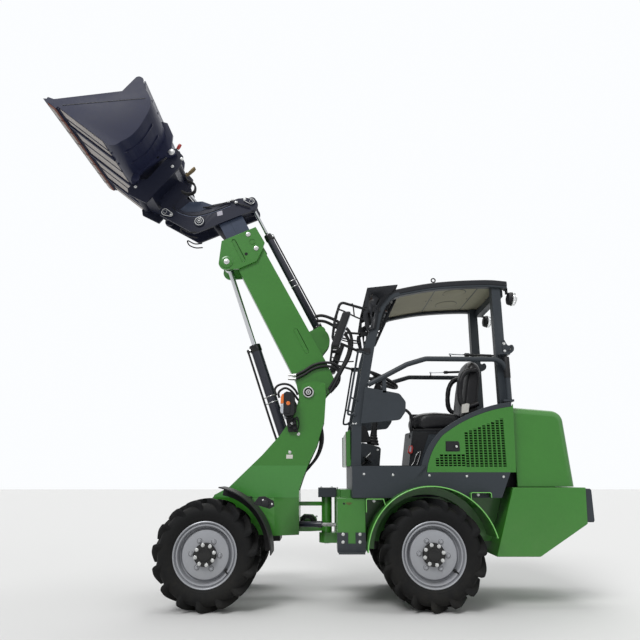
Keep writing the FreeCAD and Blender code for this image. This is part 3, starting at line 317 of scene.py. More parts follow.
def outward(item):
    """Turn the faces of a closed mesh outwards."""
    work = bmesh.new()
    work.from_mesh(item.data)
    bmesh.ops.remove_doubles(work, verts=work.verts, dist=1e-6)
    bmesh.ops.recalc_face_normals(work, faces=work.faces)
    work.to_mesh(item.data)
    work.free()


def put(item, material, body):
    """Give a finished piece its material and the body it rides on."""
    item.data.materials.clear()
    item.data.materials.append(material)
    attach(item, body)
    return item


def grid_faces(rows, columns, wrap_rows=False, wrap_columns=False):
    """Quads between neighbouring points of a grid of rows and columns."""
    i = np.arange(rows if wrap_rows else rows - 1)
    j = np.arange(columns if wrap_columns else columns - 1)
    i, j = [v.ravel() for v in np.meshgrid(i, j, indexing="ij")]
    ni, nj = (i + 1) % rows, (j + 1) % columns
    return np.stack([i * columns + j, i * columns + nj, ni * columns + nj, ni * columns + j], 1)


def tube_faces(rows, sides, loop=False):
    """Quads round a closed section carried along, its ends closed or, for a loop, joined."""
    faces = [tuple(f) for f in grid_faces(rows, sides, loop, True)]
    if not loop:
        faces += [tuple(range(sides))[::-1], tuple((rows - 1) * sides + k for k in range(sides))]
    return faces


def unit(vector):
    """A vector of length one."""
    vector = np.array(vector, float)
    return vector / np.linalg.norm(vector)


def turned(p, q, degrees):
    """A direction that turns from p towards q."""
    return math.cos(math.radians(degrees)) * p + math.sin(math.radians(degrees)) * q


def break_edges(item, width):
    """Round a piece's edges over a width."""
    edge = item.modifiers.new("edges", "BEVEL")
    edge.width = width
    edge.segments = 2
    edge.limit_method = "ANGLE"
    edge.angle_limit = math.radians(30)
    return edge


def circle(count):
    """Angles evenly round a circle."""
    return np.linspace(0, 2 * math.pi, count + 1)[:-1]


def outline_of(points):
    """An outline in machine millimetres as (x, z) metres."""
    return [(row(a), z / 1000) for a, z in points]


class Build:
    """Collects points and faces of many small shapes into one mesh."""

    def __init__(self):
        """Start with no points and no faces."""
        self.points, self.faces, self.count = [], [], 0

    def take(self, points, faces):
        """Add points and the faces between them."""
        points = np.asarray(points, float).reshape(-1, 3)
        self.faces += [tuple(int(k) + self.count for k in f) for f in faces]
        self.points.append(points)
        self.count += len(points)

    def lathe(self, profile, centre, axis, sides=32, loop=False):
        """A profile of (out, along) turned round an axis through a point, its ends closed or, for a
        loop, its last point joined to its first:
        point = centre + along * axis + out * (cos t * p + sin t * q)."""
        axis = unit(axis)
        p = unit(np.cross(axis, UP if abs(axis[2]) < 0.9 else (1, 0, 0)))
        q = np.cross(axis, p)
        t = np.arange(sides) * 2 * math.pi / sides
        ring = np.cos(t)[:, None] * p + np.sin(t)[:, None] * q
        prof = np.array(profile, float)
        grid = (np.array(centre, float) + prof[:, 1, None, None] * axis + prof[:, 0, None, None] *
            ring[None])
        self.take(grid, tube_faces(len(prof), sides, loop))
        return self

    def sweep(self, path, radius, sides=10):
        """A round bar: circles of a radius, or of one radius a point, square to the path."""
        path = np.array(path, float)
        way = np.gradient(path, axis=0)
        way /= np.linalg.norm(way, axis=1)[:, None]
        ref = np.eye(3)[np.argmin(np.abs(way).max(0))]
        side = np.cross(way, ref)
        side /= np.linalg.norm(side, axis=1)[:, None]
        lift = np.cross(side, way)
        t = np.arange(sides) * 2 * math.pi / sides
        radius = np.broadcast_to(np.asarray(radius, float), (len(path),))
        grid = path[:, None] + radius[:, None, None] * (np.cos(t)[None, :, None] * side[:, None] +
            np.sin(t)[None, :, None] * lift[:, None])
        self.take(grid, tube_faces(len(path), sides))
        return self

    def prism(self, outline, y_low, y_high):
        """An outline of (x, z) given thickness between two places on y, in either order."""
        y_low, y_high = sorted((y_low, y_high))
        flat = np.array(outline, float)
        n = len(flat)
        low = np.insert(flat, 1, y_low, axis=1)
        high = np.insert(flat, 1, y_high, axis=1)
        k = np.arange(n)
        faces = [tuple(k), tuple(k[::-1] + n)]
        faces += [tuple(f) for f in np.stack([k, k + n, (k + 1) % n + n, (k + 1) % n], 1)]
        self.take(np.vstack([low, high]), faces)
        return self

    def plate(self, outline, y_low, y_high):
        """A prism whose outline is in machine millimetres."""
        self.prism(outline_of(outline), y_low, y_high)
        return self

    def bar(self, points, steps, radius, sides=10):
        """A round bar along the smooth line through points."""
        self.sweep(curve_through(points, steps), radius, sides)
        return self

    def ring(self, centre, axis, radius, tube, sides=36, along=0.0, corners=10):
        """A round ring about an axis, its own section a polygon."""
        t = circle(corners)
        self.lathe(np.stack([radius + tube * np.cos(t), along + tube * np.sin(t)], 1), centre, axis,
            sides, loop=True)

    def block(self, low, high):
        """A box between two corners."""
        self.prism([(low[0], low[2]), (high[0], low[2]), (high[0], high[2]), (low[0], high[2])],
            low[1], high[1])
        return self

    def bolt(self, centre, axis, size=0.01, height=None, washer=True):
        """A hexagon head with a chamfer on a round washer."""
        height = height or size * 0.7
        if washer:
            self.lathe([(size * 1.55, 0), (size * 1.55, size * 0.2), (size * 1.4, size * 0.28)],
                centre, axis, 20)
        base = size * 0.28 if washer else 0
        self.lathe([(size, base), (size, base + height * 0.85), (size * 0.86, base + height)],
            centre, axis, 6)

    def bolts(self, places, y, size):
        """A bolt facing out at each (a, z) in machine millimetres."""
        for a, z in places:
            self.bolt(at(a, y, z), OUT, size)

    def twin(self):
        """Add the mirror image of everything so far on the machine's other side."""
        points = np.vstack(self.points) * (1, -1, 1)
        self.take(points, list(self.faces))

    def done(self, name, material, body, slot=None, bevel=0.0, smooth=True, angle=35, twin=False):
        """The finished piece, mirrored first where it stands on both sides."""
        if twin:
            self.twin()
        item = mesh_of(name, np.vstack(self.points), self.faces, smooth)
        outward(item)
        if bevel:
            break_edges(item, bevel)
        item.data.set_sharp_from_angle(angle=math.radians(angle))
        return put(item, material, body)


def spline(a, b, c, d, steps):
    """Points from b up to c by Catmull and Rom's formula."""
    t = np.linspace(0, 1, steps, endpoint=False)[:, None]
    return 0.5 * (2 * b + (c - a) * t + (2 * a - 5 * b + 4 * c - d) * t ** 2 +
        (3 * b - a - 3 * c + d) * t ** 3)


def curve_through(points, steps=12):
    """Points along a smooth line through the given ones."""
    p = np.array(points, float)
    p = np.vstack([2 * p[0] - p[1], p, 2 * p[-1] - p[-2]])
    return np.vstack([spline(*four, steps) for four in zip(p, p[1:], p[2:], p[3:])] + [p[-2:-1]])


def bevelled(node, material, body, width=0.003, angle=35):
    """A copy of a solid with its doubled points merged, its flats joined and, where a width is
    given, its edges broken."""
    work = bmesh.new()
    work.from_mesh(frame["nodes"][node].data)
    bmesh.ops.remove_doubles(work, verts=work.verts, dist=2e-5)
    if node not in ("deck", "front_frame"):
        bmesh.ops.dissolve_limit(work, angle_limit=math.radians(1), verts=work.verts,
            edges=work.edges)
    mesh = bpy.data.meshes.new(node + "_dressed")
    work.to_mesh(mesh)
    work.free()
    item = bpy.data.objects.new(node + "_dressed", mesh)
    bpy.context.scene.collection.objects.link(item)
    mesh.polygons.foreach_set("use_smooth", [True] * len(mesh.polygons))
    mesh.set_sharp_from_angle(angle=math.radians(angle))
    if width:
        break_edges(item, width).harden_normals = True
    put(item, material, body)
    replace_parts(item, node)
    return item


BODY_OF = {node: item["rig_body"] for node, item in frame["nodes"].items()}
SLOT_OF = {part["node"]: part["material_slot"] for part in frame["record"]["subparts"]}

# Solids shown with broken edges: name, material, edge width in metres.
DRESSED = [("rear_frame", GREEN, 0.003), ("steps", GREEN, 0.003), ("step_plates", GREY, 0.002),
    ("deck", GREY, 0), ("rear_weight", GREEN, 0.005), ("rear_bumper", GREY, 0.003),
    ("side_panels", GREEN, 0.0015), ("panel_bands", GREY, 0.002), ("front_cowl", GREEN, 0.004),
    ("seat_base", GREY, 0.004), ("rear_fenders", GREEN, 0.0015), ("front_fenders", BLACK, 0.0015),
    ("front_frame", GREEN, 0), ("outer_arm", GREEN, 0.003), ("inner_arm", TUBE, 0.003),
    ("arm_head", HEAD, 0.003), ("coupler", HEAD, 0.003), ("bucket", BUCKET, 0.003),
    ("mirrors", BLACK, 0.016), ]
for node, material, width in DRESSED:
    bevelled(node, material, BODY_OF[node], width)

CHASSIS, FRONT, ARM = BODY_OF["deck"], BODY_OF["front_frame"], BODY_OF["outer_arm"]


# Wheels

CARCASS = [(0.0, 0.353), (0.05, 0.3515), (0.085, 0.346), (0.108, 0.335), (0.1205, 0.318),
    (0.1248, 0.295), (0.1225, 0.272), (0.1175, 0.255), (0.1165, 0.250), (0.113, 0.243),
    (0.109, 0.234)]
# A lug from the tread's middle to the sidewall: the foot and the top of its section as
# (y, radius), how far it has run back round the tyre in radians, and half its width.
LUG = [((0.004, 0.349), (0.004, 0.387), 0.0, 0.020), ((0.04, 0.348), (0.04, 0.387), 0.075, 0.0175),
    ((0.075, 0.343), (0.078, 0.386), 0.15, 0.0155), ((0.1, 0.334), (0.108, 0.382), 0.215, 0.015),
    ((0.112, 0.326), (0.126, 0.374), 0.255, 0.0145), ((0.118, 0.318), (0.1318, 0.362), 0.28,
    0.0135), ((0.121, 0.310), (0.1312, 0.348), 0.30, 0.0115), ((0.1225, 0.302), (0.1288, 0.334),
    0.31, 0.0085), ((0.1235, 0.298), (0.1262, 0.322), 0.315, 0.005)]
LUGS = 15


def lug_points():
    """One lug as a grid: rows along its path, columns across it. A point at height h between foot
    and top, offset w across: (r sin(a), y, r cos(a)) with a = w / r - run."""
    foot = curve_through([row[0] + (row[2], row[3]) for row in LUG], 2)
    top = curve_through([row[1] + (row[2], row[3]) for row in LUG], 2)
    height = np.array([0.0, 0.55, 0.95, 1.0, 1.0, 0.95, 0.55, 0.0])
    across = np.array([-1.3, -1.05, -1.0, -0.85, 0.85, 1.0, 1.05, 1.3])
    y = foot[:, :1] + (top[:, :1] - foot[:, :1]) * height
    r = foot[:, 1:2] + (top[:, 1:2] - foot[:, 1:2]) * height
    angle = across * foot[:, 3:4] / r - foot[:, 2:3]
    return y, r, angle


def tyre(build, middle):
    """Carcass and lugs round an axle along Y."""
    half = curve_through(CARCASS, 3)
    outer = [(r, y) for y, r in half]
    profile = [(r, -y) for r, y in outer[:0:-1]] + outer + [(0.231, 0.1), (0.231, -0.1)]
    build.lathe(profile, middle, OUT, 90, loop=True)
    y, r, angle = lug_points()
    faces = [tuple(f) for f in grid_faces(*y.shape)]
    faces.append(tuple(range(y.shape[1])))
    last = (y.shape[0] - 1) * y.shape[1]
    faces.append(tuple(last + k for k in range(y.shape[1]))[::-1])
    pitch = 2 * math.pi / LUGS
    for side, shift in ((1, 0.0), (-1, 0.5)):
        for i in range(LUGS):
            turn = angle + (i + shift) * pitch
            build.take(np.stack([r * np.sin(turn), side * y, r * np.cos(turn)], 2) + middle, faces)


RIM = [(0.0795, 0.078), (0.164, 0.078), (0.168, 0.0765), (0.172, 0.066), (0.178, 0.052),
    (0.184, 0.047), (0.190, 0.050), (0.1935, 0.062), (0.195, 0.088), (0.197, 0.0985), (0.2, 0.1025),
    (0.206, 0.103), (0.2095, 0.1), (0.211, 0.094), (0.2135, 0.0925), (0.2165, 0.095),
    (0.2185, 0.104), (0.2215, 0.1105), (0.2265, 0.1125), (0.231, 0.1105), (0.2328, 0.104),
    (0.2315, 0.096), (0.2285, 0.09), (0.2285, -0.098), (0.2325, -0.105), (0.2265, -0.1125),
    (0.2185, -0.104), (0.205, -0.09), (0.196, -0.06), (0.1945, 0.02), (0.188, 0.034), (0.17, 0.044),
    (0.0795, 0.048)]
HUB = [(0.0815, 0.068), (0.0815, 0.1), (0.0795, 0.1065), (0.0765, 0.1095), (0.047, 0.11),
    (0.044, 0.1145), (0.038, 0.1165), (0.012, 0.1175)]


def wheel(stem, reach, side):
    """A tyre, its rim, the hub with eight bolts, six wheel nuts and the valve."""
    body = BODY_OF["rim_" + stem]
    middle = np.array([reach, side * TRACK, WHEEL_Z])
    out = (0, side, 0)
    rubber = Build()
    tyre(rubber, middle)
    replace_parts(rubber.done("tyre_%s_lugged" % stem, RUBBER, body, SLOT_OF["tyre_" + stem],
        angle=40), "tyre_" + stem)
    rim = Build()
    rim.lathe(RIM, middle, out, 96, loop=True)
    hub = Build()
    hub.lathe(HUB, middle, out, 64)
    bolts = Build()

    def spot(radius, degrees, along):
        """A point round the axle and out along it."""
        t = math.radians(degrees)
        return middle + (radius * math.sin(t), side * along, radius * math.cos(t))

    for i in range(8):
        bolts.bolt(spot(0.069, 13.6 + 45 * i, 0.1095), out, 0.0085, 0.008)
    for i in range(6):
        hub.lathe([(0.0185, 0), (0.0185, 0.0012)], spot(0.104, 26.5 + 60 * i, 0.0782), out, 28)
        rim.bolt(spot(0.104, 26.5 + 60 * i, 0.0785), out, 0.0105, 0.012)
    stem_at = 233.5
    hub.sweep([spot(0.190, stem_at, 0.05), spot(0.199, stem_at, 0.085),
        spot(0.205, stem_at, 0.113)], [0.012, 0.0085, 0.006], 12)
    hub.lathe([(0.014, 0), (0.014, 0.012), (0.011, 0.016)], spot(0.192, stem_at, 0.055), out, 16)
    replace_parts(rim.done("rim_%s_turned" % stem, SILVER, body, SLOT_OF["rim_" + stem], angle=28),
        "rim_" + stem)
    hub.done("hub_" + stem, GLOSS, body, angle=30)
    bolts.done("hub_bolts_" + stem, ZINC, body)


for stem, reach, side in (("front_left", AXLES["front"], 1), ("front_right", AXLES["front"], -1),
        ("rear_left", AXLES["rear"], 1), ("rear_right", AXLES["rear"], -1)):
    wheel(stem, reach, side)


# Hood

def hood_skin():
    """The hood's own mesh with its doubled points merged, so that its edges shade smoothly."""
    item = bevelled("hood", GREEN, BODY_OF["hood"], 0.002, 25)
    item.modifiers[0].angle_limit = math.radians(60)


hood_skin()


# Trim of the rear body

def arc(centre, y, radius, start, end, count=60):
    """Points on an upright arc round (x, z), angles in degrees from ahead through up."""
    t = np.radians(np.linspace(start, end, count))
    return np.stack([centre[0] + radius * np.cos(t), np.full(count, y), centre[1] + radius *
        np.sin(t)], 1)


def fender_edges():
    """Bright green strips along the edges of the fenders and of the two channels under the deck,
    which are painted highlight, with the channels' webs.
    """
    lips = Build()
    # Painted highlight: bright green strips on the rear fenders' outer edge and on the channels'
    # faces.
    lips.sweep(arc((AXLES["rear"], WHEEL_Z), 0.6325, 0.4735, 2.2, 165.8, 90), 0.0042, 8)
    channels = [outline_of([(-1063, 742), (-1063, 806), (-1073, 818), (-1209, 818), (-1219, 808),
        (-1219, 780), (-1214, 780), (-1214, 806), (-1207, 813), (-1075, 813), (-1068, 804),
        (-1068, 742)]), outline_of([(-285, 676), (-285, 763), (-293, 772), (-417, 772), (-432, 724),
        (-427, 722), (-413, 767), (-296, 767), (-290, 761), (-290, 676)])]
    web = Build()
    for line in channels:
        web.prism(line, 0.4845, 0.5595)
        lips.prism(line, 0.5595, 0.5612)
    lips.done("painted_highlight_lips", EDGE_HIGHLIGHT_GREEN, CHASSIS, angle=50, twin=True)
    web.done("channels", GREEN, CHASSIS, twin=True)
    Build().sweep(arc((AXLES["front"], WHEEL_Z), 0.632, 0.474, 100.5, 179.5, 50), 0.004,
        8).done("front_fender_beads", BLACK, FRONT, twin=True)


# The grille's cross bars: their pitch and height in millimetres.
BAR_PITCH, BAR_HEIGHT = 19, 6


def panel_details():
    """Cross bars in the air slots, a dark sheet behind them that paints the shade inside the hood,
    and the latches with their locks.
    """
    bars = Build()
    for first, last, low, high_first, high_last in ((-824, -856, 1007, 1066, 1066),
            (-857, -1054, 1007, 1094, 1094), (-1056, -1366, 1003, 1262, 1365)):
        for z in np.arange(low + 10, max(high_first, high_last) - 4, BAR_PITCH):
            part = (z - high_first) / max(high_last - high_first, 1)
            start = first if z < high_first else first + (last - first) * min(part, 1)
            bars.block(at(last, 0.4958, z), at(start, 0.4987, z + BAR_HEIGHT))
    bars.done("grille_bars", GREEN, CHASSIS, smooth=False, twin=True)
    # Painted shade: a flat black sheet behind the slots stands for the dark inside the hood.
    Build().plate([(-775, 975), (-815, 1095), (-900, 1225), (-1150, 1368), (-1425, 1440),
        (-1425, 975)], 0.470, 0.474).done("grille_painted_shade", SHADE_BLACK, CHASSIS, smooth=False, twin=True)
    latch, lock = Build(), Build()
    latch.plate([(-906, 1120), (-909, 1193), (-1004, 1193), (-1013, 1182), (-1015, 1124),
        (-1008, 1117), (-910, 1117)], 0.4985, 0.5035)
    latch.plate([(-912, 1124), (-914, 1187), (-965, 1187), (-965, 1124)], 0.5035, 0.5065)
    latch.plate([(-971, 1124), (-971, 1187), (-1001, 1187), (-1009, 1178), (-1010, 1124)], 0.5035,
        0.505)
    latch.lathe([(0.0135, 0), (0.0135, 0.004), (0.0115, 0.006)], at(-989, 0.504, 1152), OUT)
    lock.lathe([(0.0085, 0), (0.0085, 0.002), (0.007, 0.003)], at(-989, 0.5095, 1152), OUT)
    latch.done("panel_latches", BLACK, CHASSIS, bevel=0.0012, twin=True)
    lock.done("latch_locks", ZINC, CHASSIS, twin=True)


DECK_BOLTS = [(-278, 949), (-498, 942), (-773, 939), (-1056, 933), (-1334, 929)]
STEP_BOLTS = [(-116, 517), (-242, 517), (-115, 463), (-241, 463)]
CHANNEL_BOLTS = [(-1133, 800), (-350, 754)]


def body_bolts():
    """Bolts of the deck, steps and channels, a black disc painted as the shade in a drain hole, and
    the rusty run beside it.
    """
    hole, stain = Build(), Build()
    # Painted shade: a flat black disc stands for the dark inside the drain hole.
    hole.lathe([(0.0075, 0.0006), (0.0, 0.0007)], at(-125, 0.4845, 734), OUT, 20)
    t = circle(24)
    size = 1 + 0.18 * np.sin(3 * t) + 0.1 * np.sin(7 * t + 1)
    stain.prism(np.stack([row(-162) + 0.022 * size * np.cos(t), 0.735 + 0.0095 * size * np.sin(t)],
        1), 0.4843, 0.4847)
    hole.done("step_hole_shades", GLOSS, CHASSIS, twin=True)
    stain.done("step_stains", STAIN, CHASSIS, smooth=False, twin=True)
    bolts = Build()
    for places, y, size in ((DECK_BOLTS, 0.5, 0.0055), (STEP_BOLTS, 0.4935, 0.0075),
            (CHANNEL_BOLTS, 0.5, 0.0075)):
        bolts.bolts(places, y, size)
    bolts.done("body_bolts", ZINC, CHASSIS, twin=True)


fender_edges()
panel_details()
body_bolts()


# Cab

def closed_curve(points, steps=5):
    """A smooth closed line through points in a plane."""
    p = np.array(points, float)
    return np.vstack([spline(*[p[(i + k) % len(p)] for k in (-1, 0, 1, 2)], steps) for i in
        range(len(p))])


# A pad's squareness and its seams' width and depth in metres.
SQUARE, SEAM_WIDTH, SEAM_DEPTH = 0.4, 0.007, 0.006


def pad(name, outline, half, seams, crown, node):
    """A stuffed seat part: an outline in (x, z) carried across y. At a station f in -90..90 degrees
    y = half * sgn(sin f) * |sin f| ** SQUARE and the outline shrinks to |cos f| ** SQUARE about its
    middle; each seam draws it in by a narrow bell, and the face between two seams swells by the
    crown."""
    line = closed_curve(outline_of(outline), 6)
    middle = (line.max(0) + line.min(0)) / 2
    f = np.radians(np.linspace(-89.0, 89.0, 73))
    y = half * np.sign(np.sin(f)) * np.abs(np.sin(f)) ** SQUARE
    shrink = np.abs(np.cos(f)) ** SQUARE
    seam = sum(np.exp(-((np.abs(y) - place) / SEAM_WIDTH) ** 2) for place in seams)
    inner = np.clip(1 - (y / seams[0]) ** 2, 0, 1) ** 0.7
    outward_way = line - middle
    length = np.linalg.norm(outward_way, axis=1)
    shift = (crown * inner - SEAM_DEPTH * seam)[:, None] / length[None]
    spot = middle + outward_way[None] * (shrink[:, None] * (1 + shift))[..., None]
    wave = 0.0016 * (np.sin(43 * spot[..., 0] + 31 * y[:, None]) * np.sin(37 * spot[..., 1]) + 0.6 *
        np.sin(91 * y[:, None] + 60 * spot[..., 0]))
    spot = spot + outward_way[None] / length[None, :, None] * wave[..., None] * shrink[:, None,
        None]
    grid = np.stack([spot[..., 0], np.broadcast_to(y[:, None], spot.shape[:2]), spot[..., 1]], 2)
    build = Build()
    build.take(grid, tube_faces(len(y), len(line)))
    item = build.done(name, LEATHER, CHASSIS, SLOT_OF[node], angle=60)
    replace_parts(item, node)
    piping = Build()
    rim = int(np.argmin(abs(y - half * 0.94)))
    for k in (rim, len(y) - 1 - rim):
        ring = np.vstack([grid[k], grid[k][:1]])
        ring[:, 1] *= 1.004
        middle_point = ring[:-1].mean(0)
        piping.sweep(middle_point + (ring - middle_point) * 1.004, 0.0032, 6)
    piping.done(name + "_piping", BLACK, CHASSIS)


def seat():
    """The padded seat with its piping, belt parts, side covers and the bent lever beside it."""
    pad("seat_cushion_padded", [(-734, 1312), (-721, 1342), (-722, 1376), (-738, 1408),
        (-772, 1431), (-826, 1443), (-900, 1447), (-980, 1443), (-1060, 1436), (-1106, 1420),
        (-1122, 1370), (-1118, 1312), (-1090, 1297), (-920, 1293), (-780, 1294)], 0.226, (0.135,),
        0.010, "seat_cushion")
    pad("seat_back_padded", [(-1134, 1300), (-1119, 1360), (-1119, 1430), (-1136, 1560),
        (-1160, 1690), (-1180, 1790), (-1202, 1856), (-1240, 1882), (-1284, 1862), (-1306, 1800),
        (-1290, 1690), (-1268, 1560), (-1250, 1440), (-1243, 1340), (-1236, 1300), (-1185, 1294)],
        0.216, (0.12,), 0.012, "seat_back")
    hoops = Build()
    path = curve_through([(-1246, 1786), (-1195, 1786), (-1150, 1762), (-1119, 1712), (-1104, 1650),
        (-1099, 1580), (-1108, 1522), (-1142, 1487), (-1190, 1492), (-1247, 1512)], 6)
    grow = np.linspace(0, 26, len(path))
    ring = 0.0212 + 0.0012 * np.sin(grow * 2.1) * np.sin(grow * 0.9)
    hoops.sweep(np.stack([row(path[:, 0]), np.full(len(path), 0.2375), path[:, 1] / 1000], 1), ring,
        16)
    item = hoops.done("seat_hoops_padded", LEATHER, CHASSIS, SLOT_OF["seat_hoops"], angle=60,
        twin=True)
    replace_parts(item, "seat_hoops")
    Build().plate([(-1100, 1430), (-1158, 1440), (-1170, 1506), (-1150, 1512), (-1108, 1500)],
        0.2605, 0.2618).done("seat_tag", PALE, CHASSIS, smooth=False)
    fittings, buckle, slide = Build(), Build(), Build()
    for path in ([(-680, 1016), (-704, 1050), (-716, 1090), (-742, 1124)],
            [(-722, 1020), (-740, 1062), (-752, 1102), (-756, 1130)]):
        fittings.bar([at(a, 0.236, z) for a, z in path], 5, 0.0024, 8)
    fittings.done("seat_fittings", ZINC, CHASSIS, twin=True)
    buckle.plate([(-650, 1118), (-664, 1168), (-688, 1176), (-700, 1160), (-690, 1112),
        (-668, 1106)], 0.228, 0.248)
    buckle.done("belt_buckle", RED, CHASSIS, bevel=0.004)
    slide.plate([(-661, 1128), (-671, 1164), (-684, 1166), (-678, 1122)], 0.2482, 0.2492)
    slide.done("buckle_label", TAG, CHASSIS, smooth=False)
    side = Build()
    side.plate([(-664, 1011), (-702, 1284), (-1130, 1284), (-1130, 1270), (-830, 1266),
        (-735, 1011)], 0.2255, 0.2285)
    side.plate([(-700, 1292), (-712, 1300), (-740, 1306), (-1120, 1306), (-1120, 1292)], 0.2262,
        0.232)
    side.twin()
    side.bar([at(-1245, -0.12, 1470), at(-1225, -0.2, 1430), at(-1180, -0.228, 1380),
        at(-1120, -0.232, 1330)], 6, 0.011, 8)
    side.done("seat_side_covers", BLACK, CHASSIS, bevel=0.001)
    levers = Build()
    levers.bar([at(a, 0.1, z) for a, z in ((-540, 1470), (-610, 1482), (-659, 1477), (-691, 1455),
        (-712, 1422), (-719, 1379), (-711, 1324), (-706, 1250))], 6, 0.0125, 12)
    levers.lathe([(0.018, 0), (0.018, 0.02), (0.012, 0.03)], at(-705, 0.1, 1240), UP, 16)
    levers.done("hand_levers", BLACK, CHASSIS)


def steering():
    """The steering wheel on its column, the console with its boot, and two pedals."""
    head = np.array([row(-455), 0, 1.752])
    foot = np.array([row(-395), 0, 1.205])
    lean = np.array([-0.42, 0, 0.91]) / math.hypot(0.42, 0.91)
    build = Build()
    build.ring(head, lean, 0.17, 0.0145, 72, corners=12)
    build.lathe([(0.05, -0.02), (0.056, -0.006), (0.05, 0.012), (0.02, 0.02)], head, lean, 40)
    p = np.array([0.0, 1, 0])
    q = np.cross(lean, p)
    for turn in (90, 210, 330):
        way = turned(p, q, turn)
        build.sweep([head + way * r + lean * h for r, h in ((0.03, 0.0), (0.07, 0.002), (0.13, 0.0),
            (0.168, 0.0))], [0.013, 0.011, 0.010, 0.0125], 12)
    knob = head + (math.cos(2.5) * p + math.sin(2.5) * q) * 0.17
    build.lathe([(0.008, 0.01), (0.008, 0.03), (0.019, 0.038), (0.021, 0.055), (0.01, 0.066)], knob,
        lean, 20)
    build.done("steering_wheel", BLACK, CHASSIS)
    way = unit(head - foot)
    column = Build()
    column.lathe([(0.03, 0.05), (0.026, 0.1), (0.022, 0.36), (0.027, 0.4), (0.027, 0.49),
        (0.018, 0.535)], foot, way, 28)
    rings = [(0.05 - 0.0035 * k + (0.006 if k % 2 else 0), 0.012 * k - 0.015) for k in range(9)]
    column.lathe(rings, foot, way, 28)
    column.sweep([head - lean * 0.09, head - lean * 0.08 + (0, 0.08, 0.01), head - lean * 0.06 +
        (0, 0.15, 0.02)], [0.007, 0.005, 0.008], 10)
    column.plate([(-284, 1212), (-286, 1340), (-330, 1345), (-352, 1290), (-374, 1212)], -0.058,
        0.058)
    column.done("steering_column", BLACK, CHASSIS, bevel=0.003)
    item = Build().plate([(-286, 1008.5), (-283, 1200), (-300, 1206), (-440, 1172), (-455, 1155),
        (-440, 1008.5)], -0.07, 0.07).done("steering_console_block", GREY, CHASSIS,
        SLOT_OF["steering_console"], bevel=0.006)
    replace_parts(item, "steering_console")
    trim = Build()
    trim.sweep([at(-316, 0.078, 1072), at(-366, 0.082, 1118)], [0.006, 0.0075], 12)
    trim.bolt(at(-427, 0.07, 1146), OUT, 0.006)
    trim.done("console_toggle", ZINC, CHASSIS)
    pedals = Build()
    for y in (-0.15, 0.13):
        pedals.plate([(-300, 1085), (-306, 1092), (-372, 1045), (-366, 1038)], y - 0.04, y + 0.04)
        pedals.sweep([at(-335, y, 1060), at(-290, y, 1020)], 0.009, 10)
    mat_line = [(-236, 1008.3), (-236, 1012), (-655, 1012), (-655, 1008.3)]
    pedals.plate(mat_line, -0.36, 0.36)
    for k in range(24):
        y = -0.345 + 0.03 * k
        if abs(y) > 0.075:
            pedals.block(at(-650, y - 0.004, 1011.5), at(-240, y + 0.004, 1014.5))
        else:
            pedals.block(at(-650, y - 0.004, 1011.5), at(-460, y + 0.004, 1014.5))
    pedals.done("pedals_and_mat", BLACK, CHASSIS)


ROOF_TOP = curve_through([(-478, 2398), (-540, 2420), (-600, 2441), (-850, 2489), (-1100, 2512),
    (-1350, 2519), (-1503, 2506)], 6)


def roof_shell():
    """The roof as an arched shell with rolled edges, its lining with seams and two round covers,
    and the lifting eyes."""
    top = [(a, z) for a, z in ROOF_TOP]

    def height(a):
        """The roof's top above the ground at a."""
        return float(np.interp(-a, -ROOF_TOP[:, 0], ROOF_TOP[:, 1]))

    shell = Build()
    low = [(a, z - 16) for a, z in top][::-1]
    shell.plate(top + low, -0.436, 0.436)
    for side in (-1, 1):
        rim = [(a, z - 44) for a, z in top][::-1]
        shell.plate([(a, z - 2) for a, z in top] + rim, side * 0.4365, side * 0.412)
    for a in (-492, -1490):
        z = height(a)
        shell.plate([(a + 12, z - 3), (a - 12, z - 3), (a - 12, z - 44), (a + 12, z - 44)], -0.434,
            0.434)
    item = shell.done("roof_shell", ROOF, CHASSIS, SLOT_OF["roof"], bevel=0.006)
    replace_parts(item, "roof")
    lining, seams = Build(), Build()
    inner = [(a, z) for a, z in ROOF_TOP if -1480 < a < -500]

    def sheet(build, shape, lift, thick, low_y, high_y):
        """A thin sheet that follows the roof at a drop below its top."""
        line = [(a, z - lift) for a, z in shape]
        build.plate(line + [(a, z - thick) for a, z in line][::-1], low_y, high_y)

    sheet(lining, inner, 28, 6, -0.41, 0.41)
    for a in (-570, -925, -1290):
        part = [(a + k, height(a + k)) for k in (4, 0, -4)]
        sheet(seams, part, 33.5, 2, -0.408, 0.408)
    for y in (-0.375, 0.375):
        sheet(seams, inner, 33.5, 1.6, y - 0.002, y + 0.002)
    for y in (-0.16, 0.2):
        tilt = (height(-1100) - height(-1126)) / 26
        down = (tilt, 0, -1)
        centre = at(-1113, y, height(-1113) - 33)
        lining.lathe([(0.095, -0.001), (0.095, 0.004), (0.088, 0.006)], centre, down, 48)
        seams.lathe([(0.102, -0.001), (0.102, 0.002), (0.0945, 0.002), (0.0945, -0.001)], centre,
            down, 48, loop=True)
    for a in (-600, -900, -950, -1270, -1440):
        for y in (-0.35, 0.0, 0.35):
            seams.lathe([(0.006, 0), (0.005, 0.004)], at(a, y, height(a) - 33), (0, 0, -1), 12)
    lining.done("roof_lining", LINING, CHASSIS)
    seams.done("lining_seams", GREY, CHASSIS)
    eyes = Build()
    eyes.ring(at(-898, 0.392, 2527.5), OUT, 0.0165, 0.0055, 28)
    eyes.lathe([(0.016, 0), (0.016, 0.008), (0.007, 0.011), (0.007, 0.024)],
        at(-898, 0.392, 2488.5), UP, 20)
    eyes.done("roof_eyes", GLOSS, CHASSIS, twin=True)


POST_EDGE = [(-325.9, 2000), (-352, 2100), (-385, 2205), (-420, 2284), (-462, 2343), (-505, 2378),
    (-560, 2403), (-604, 2412)]


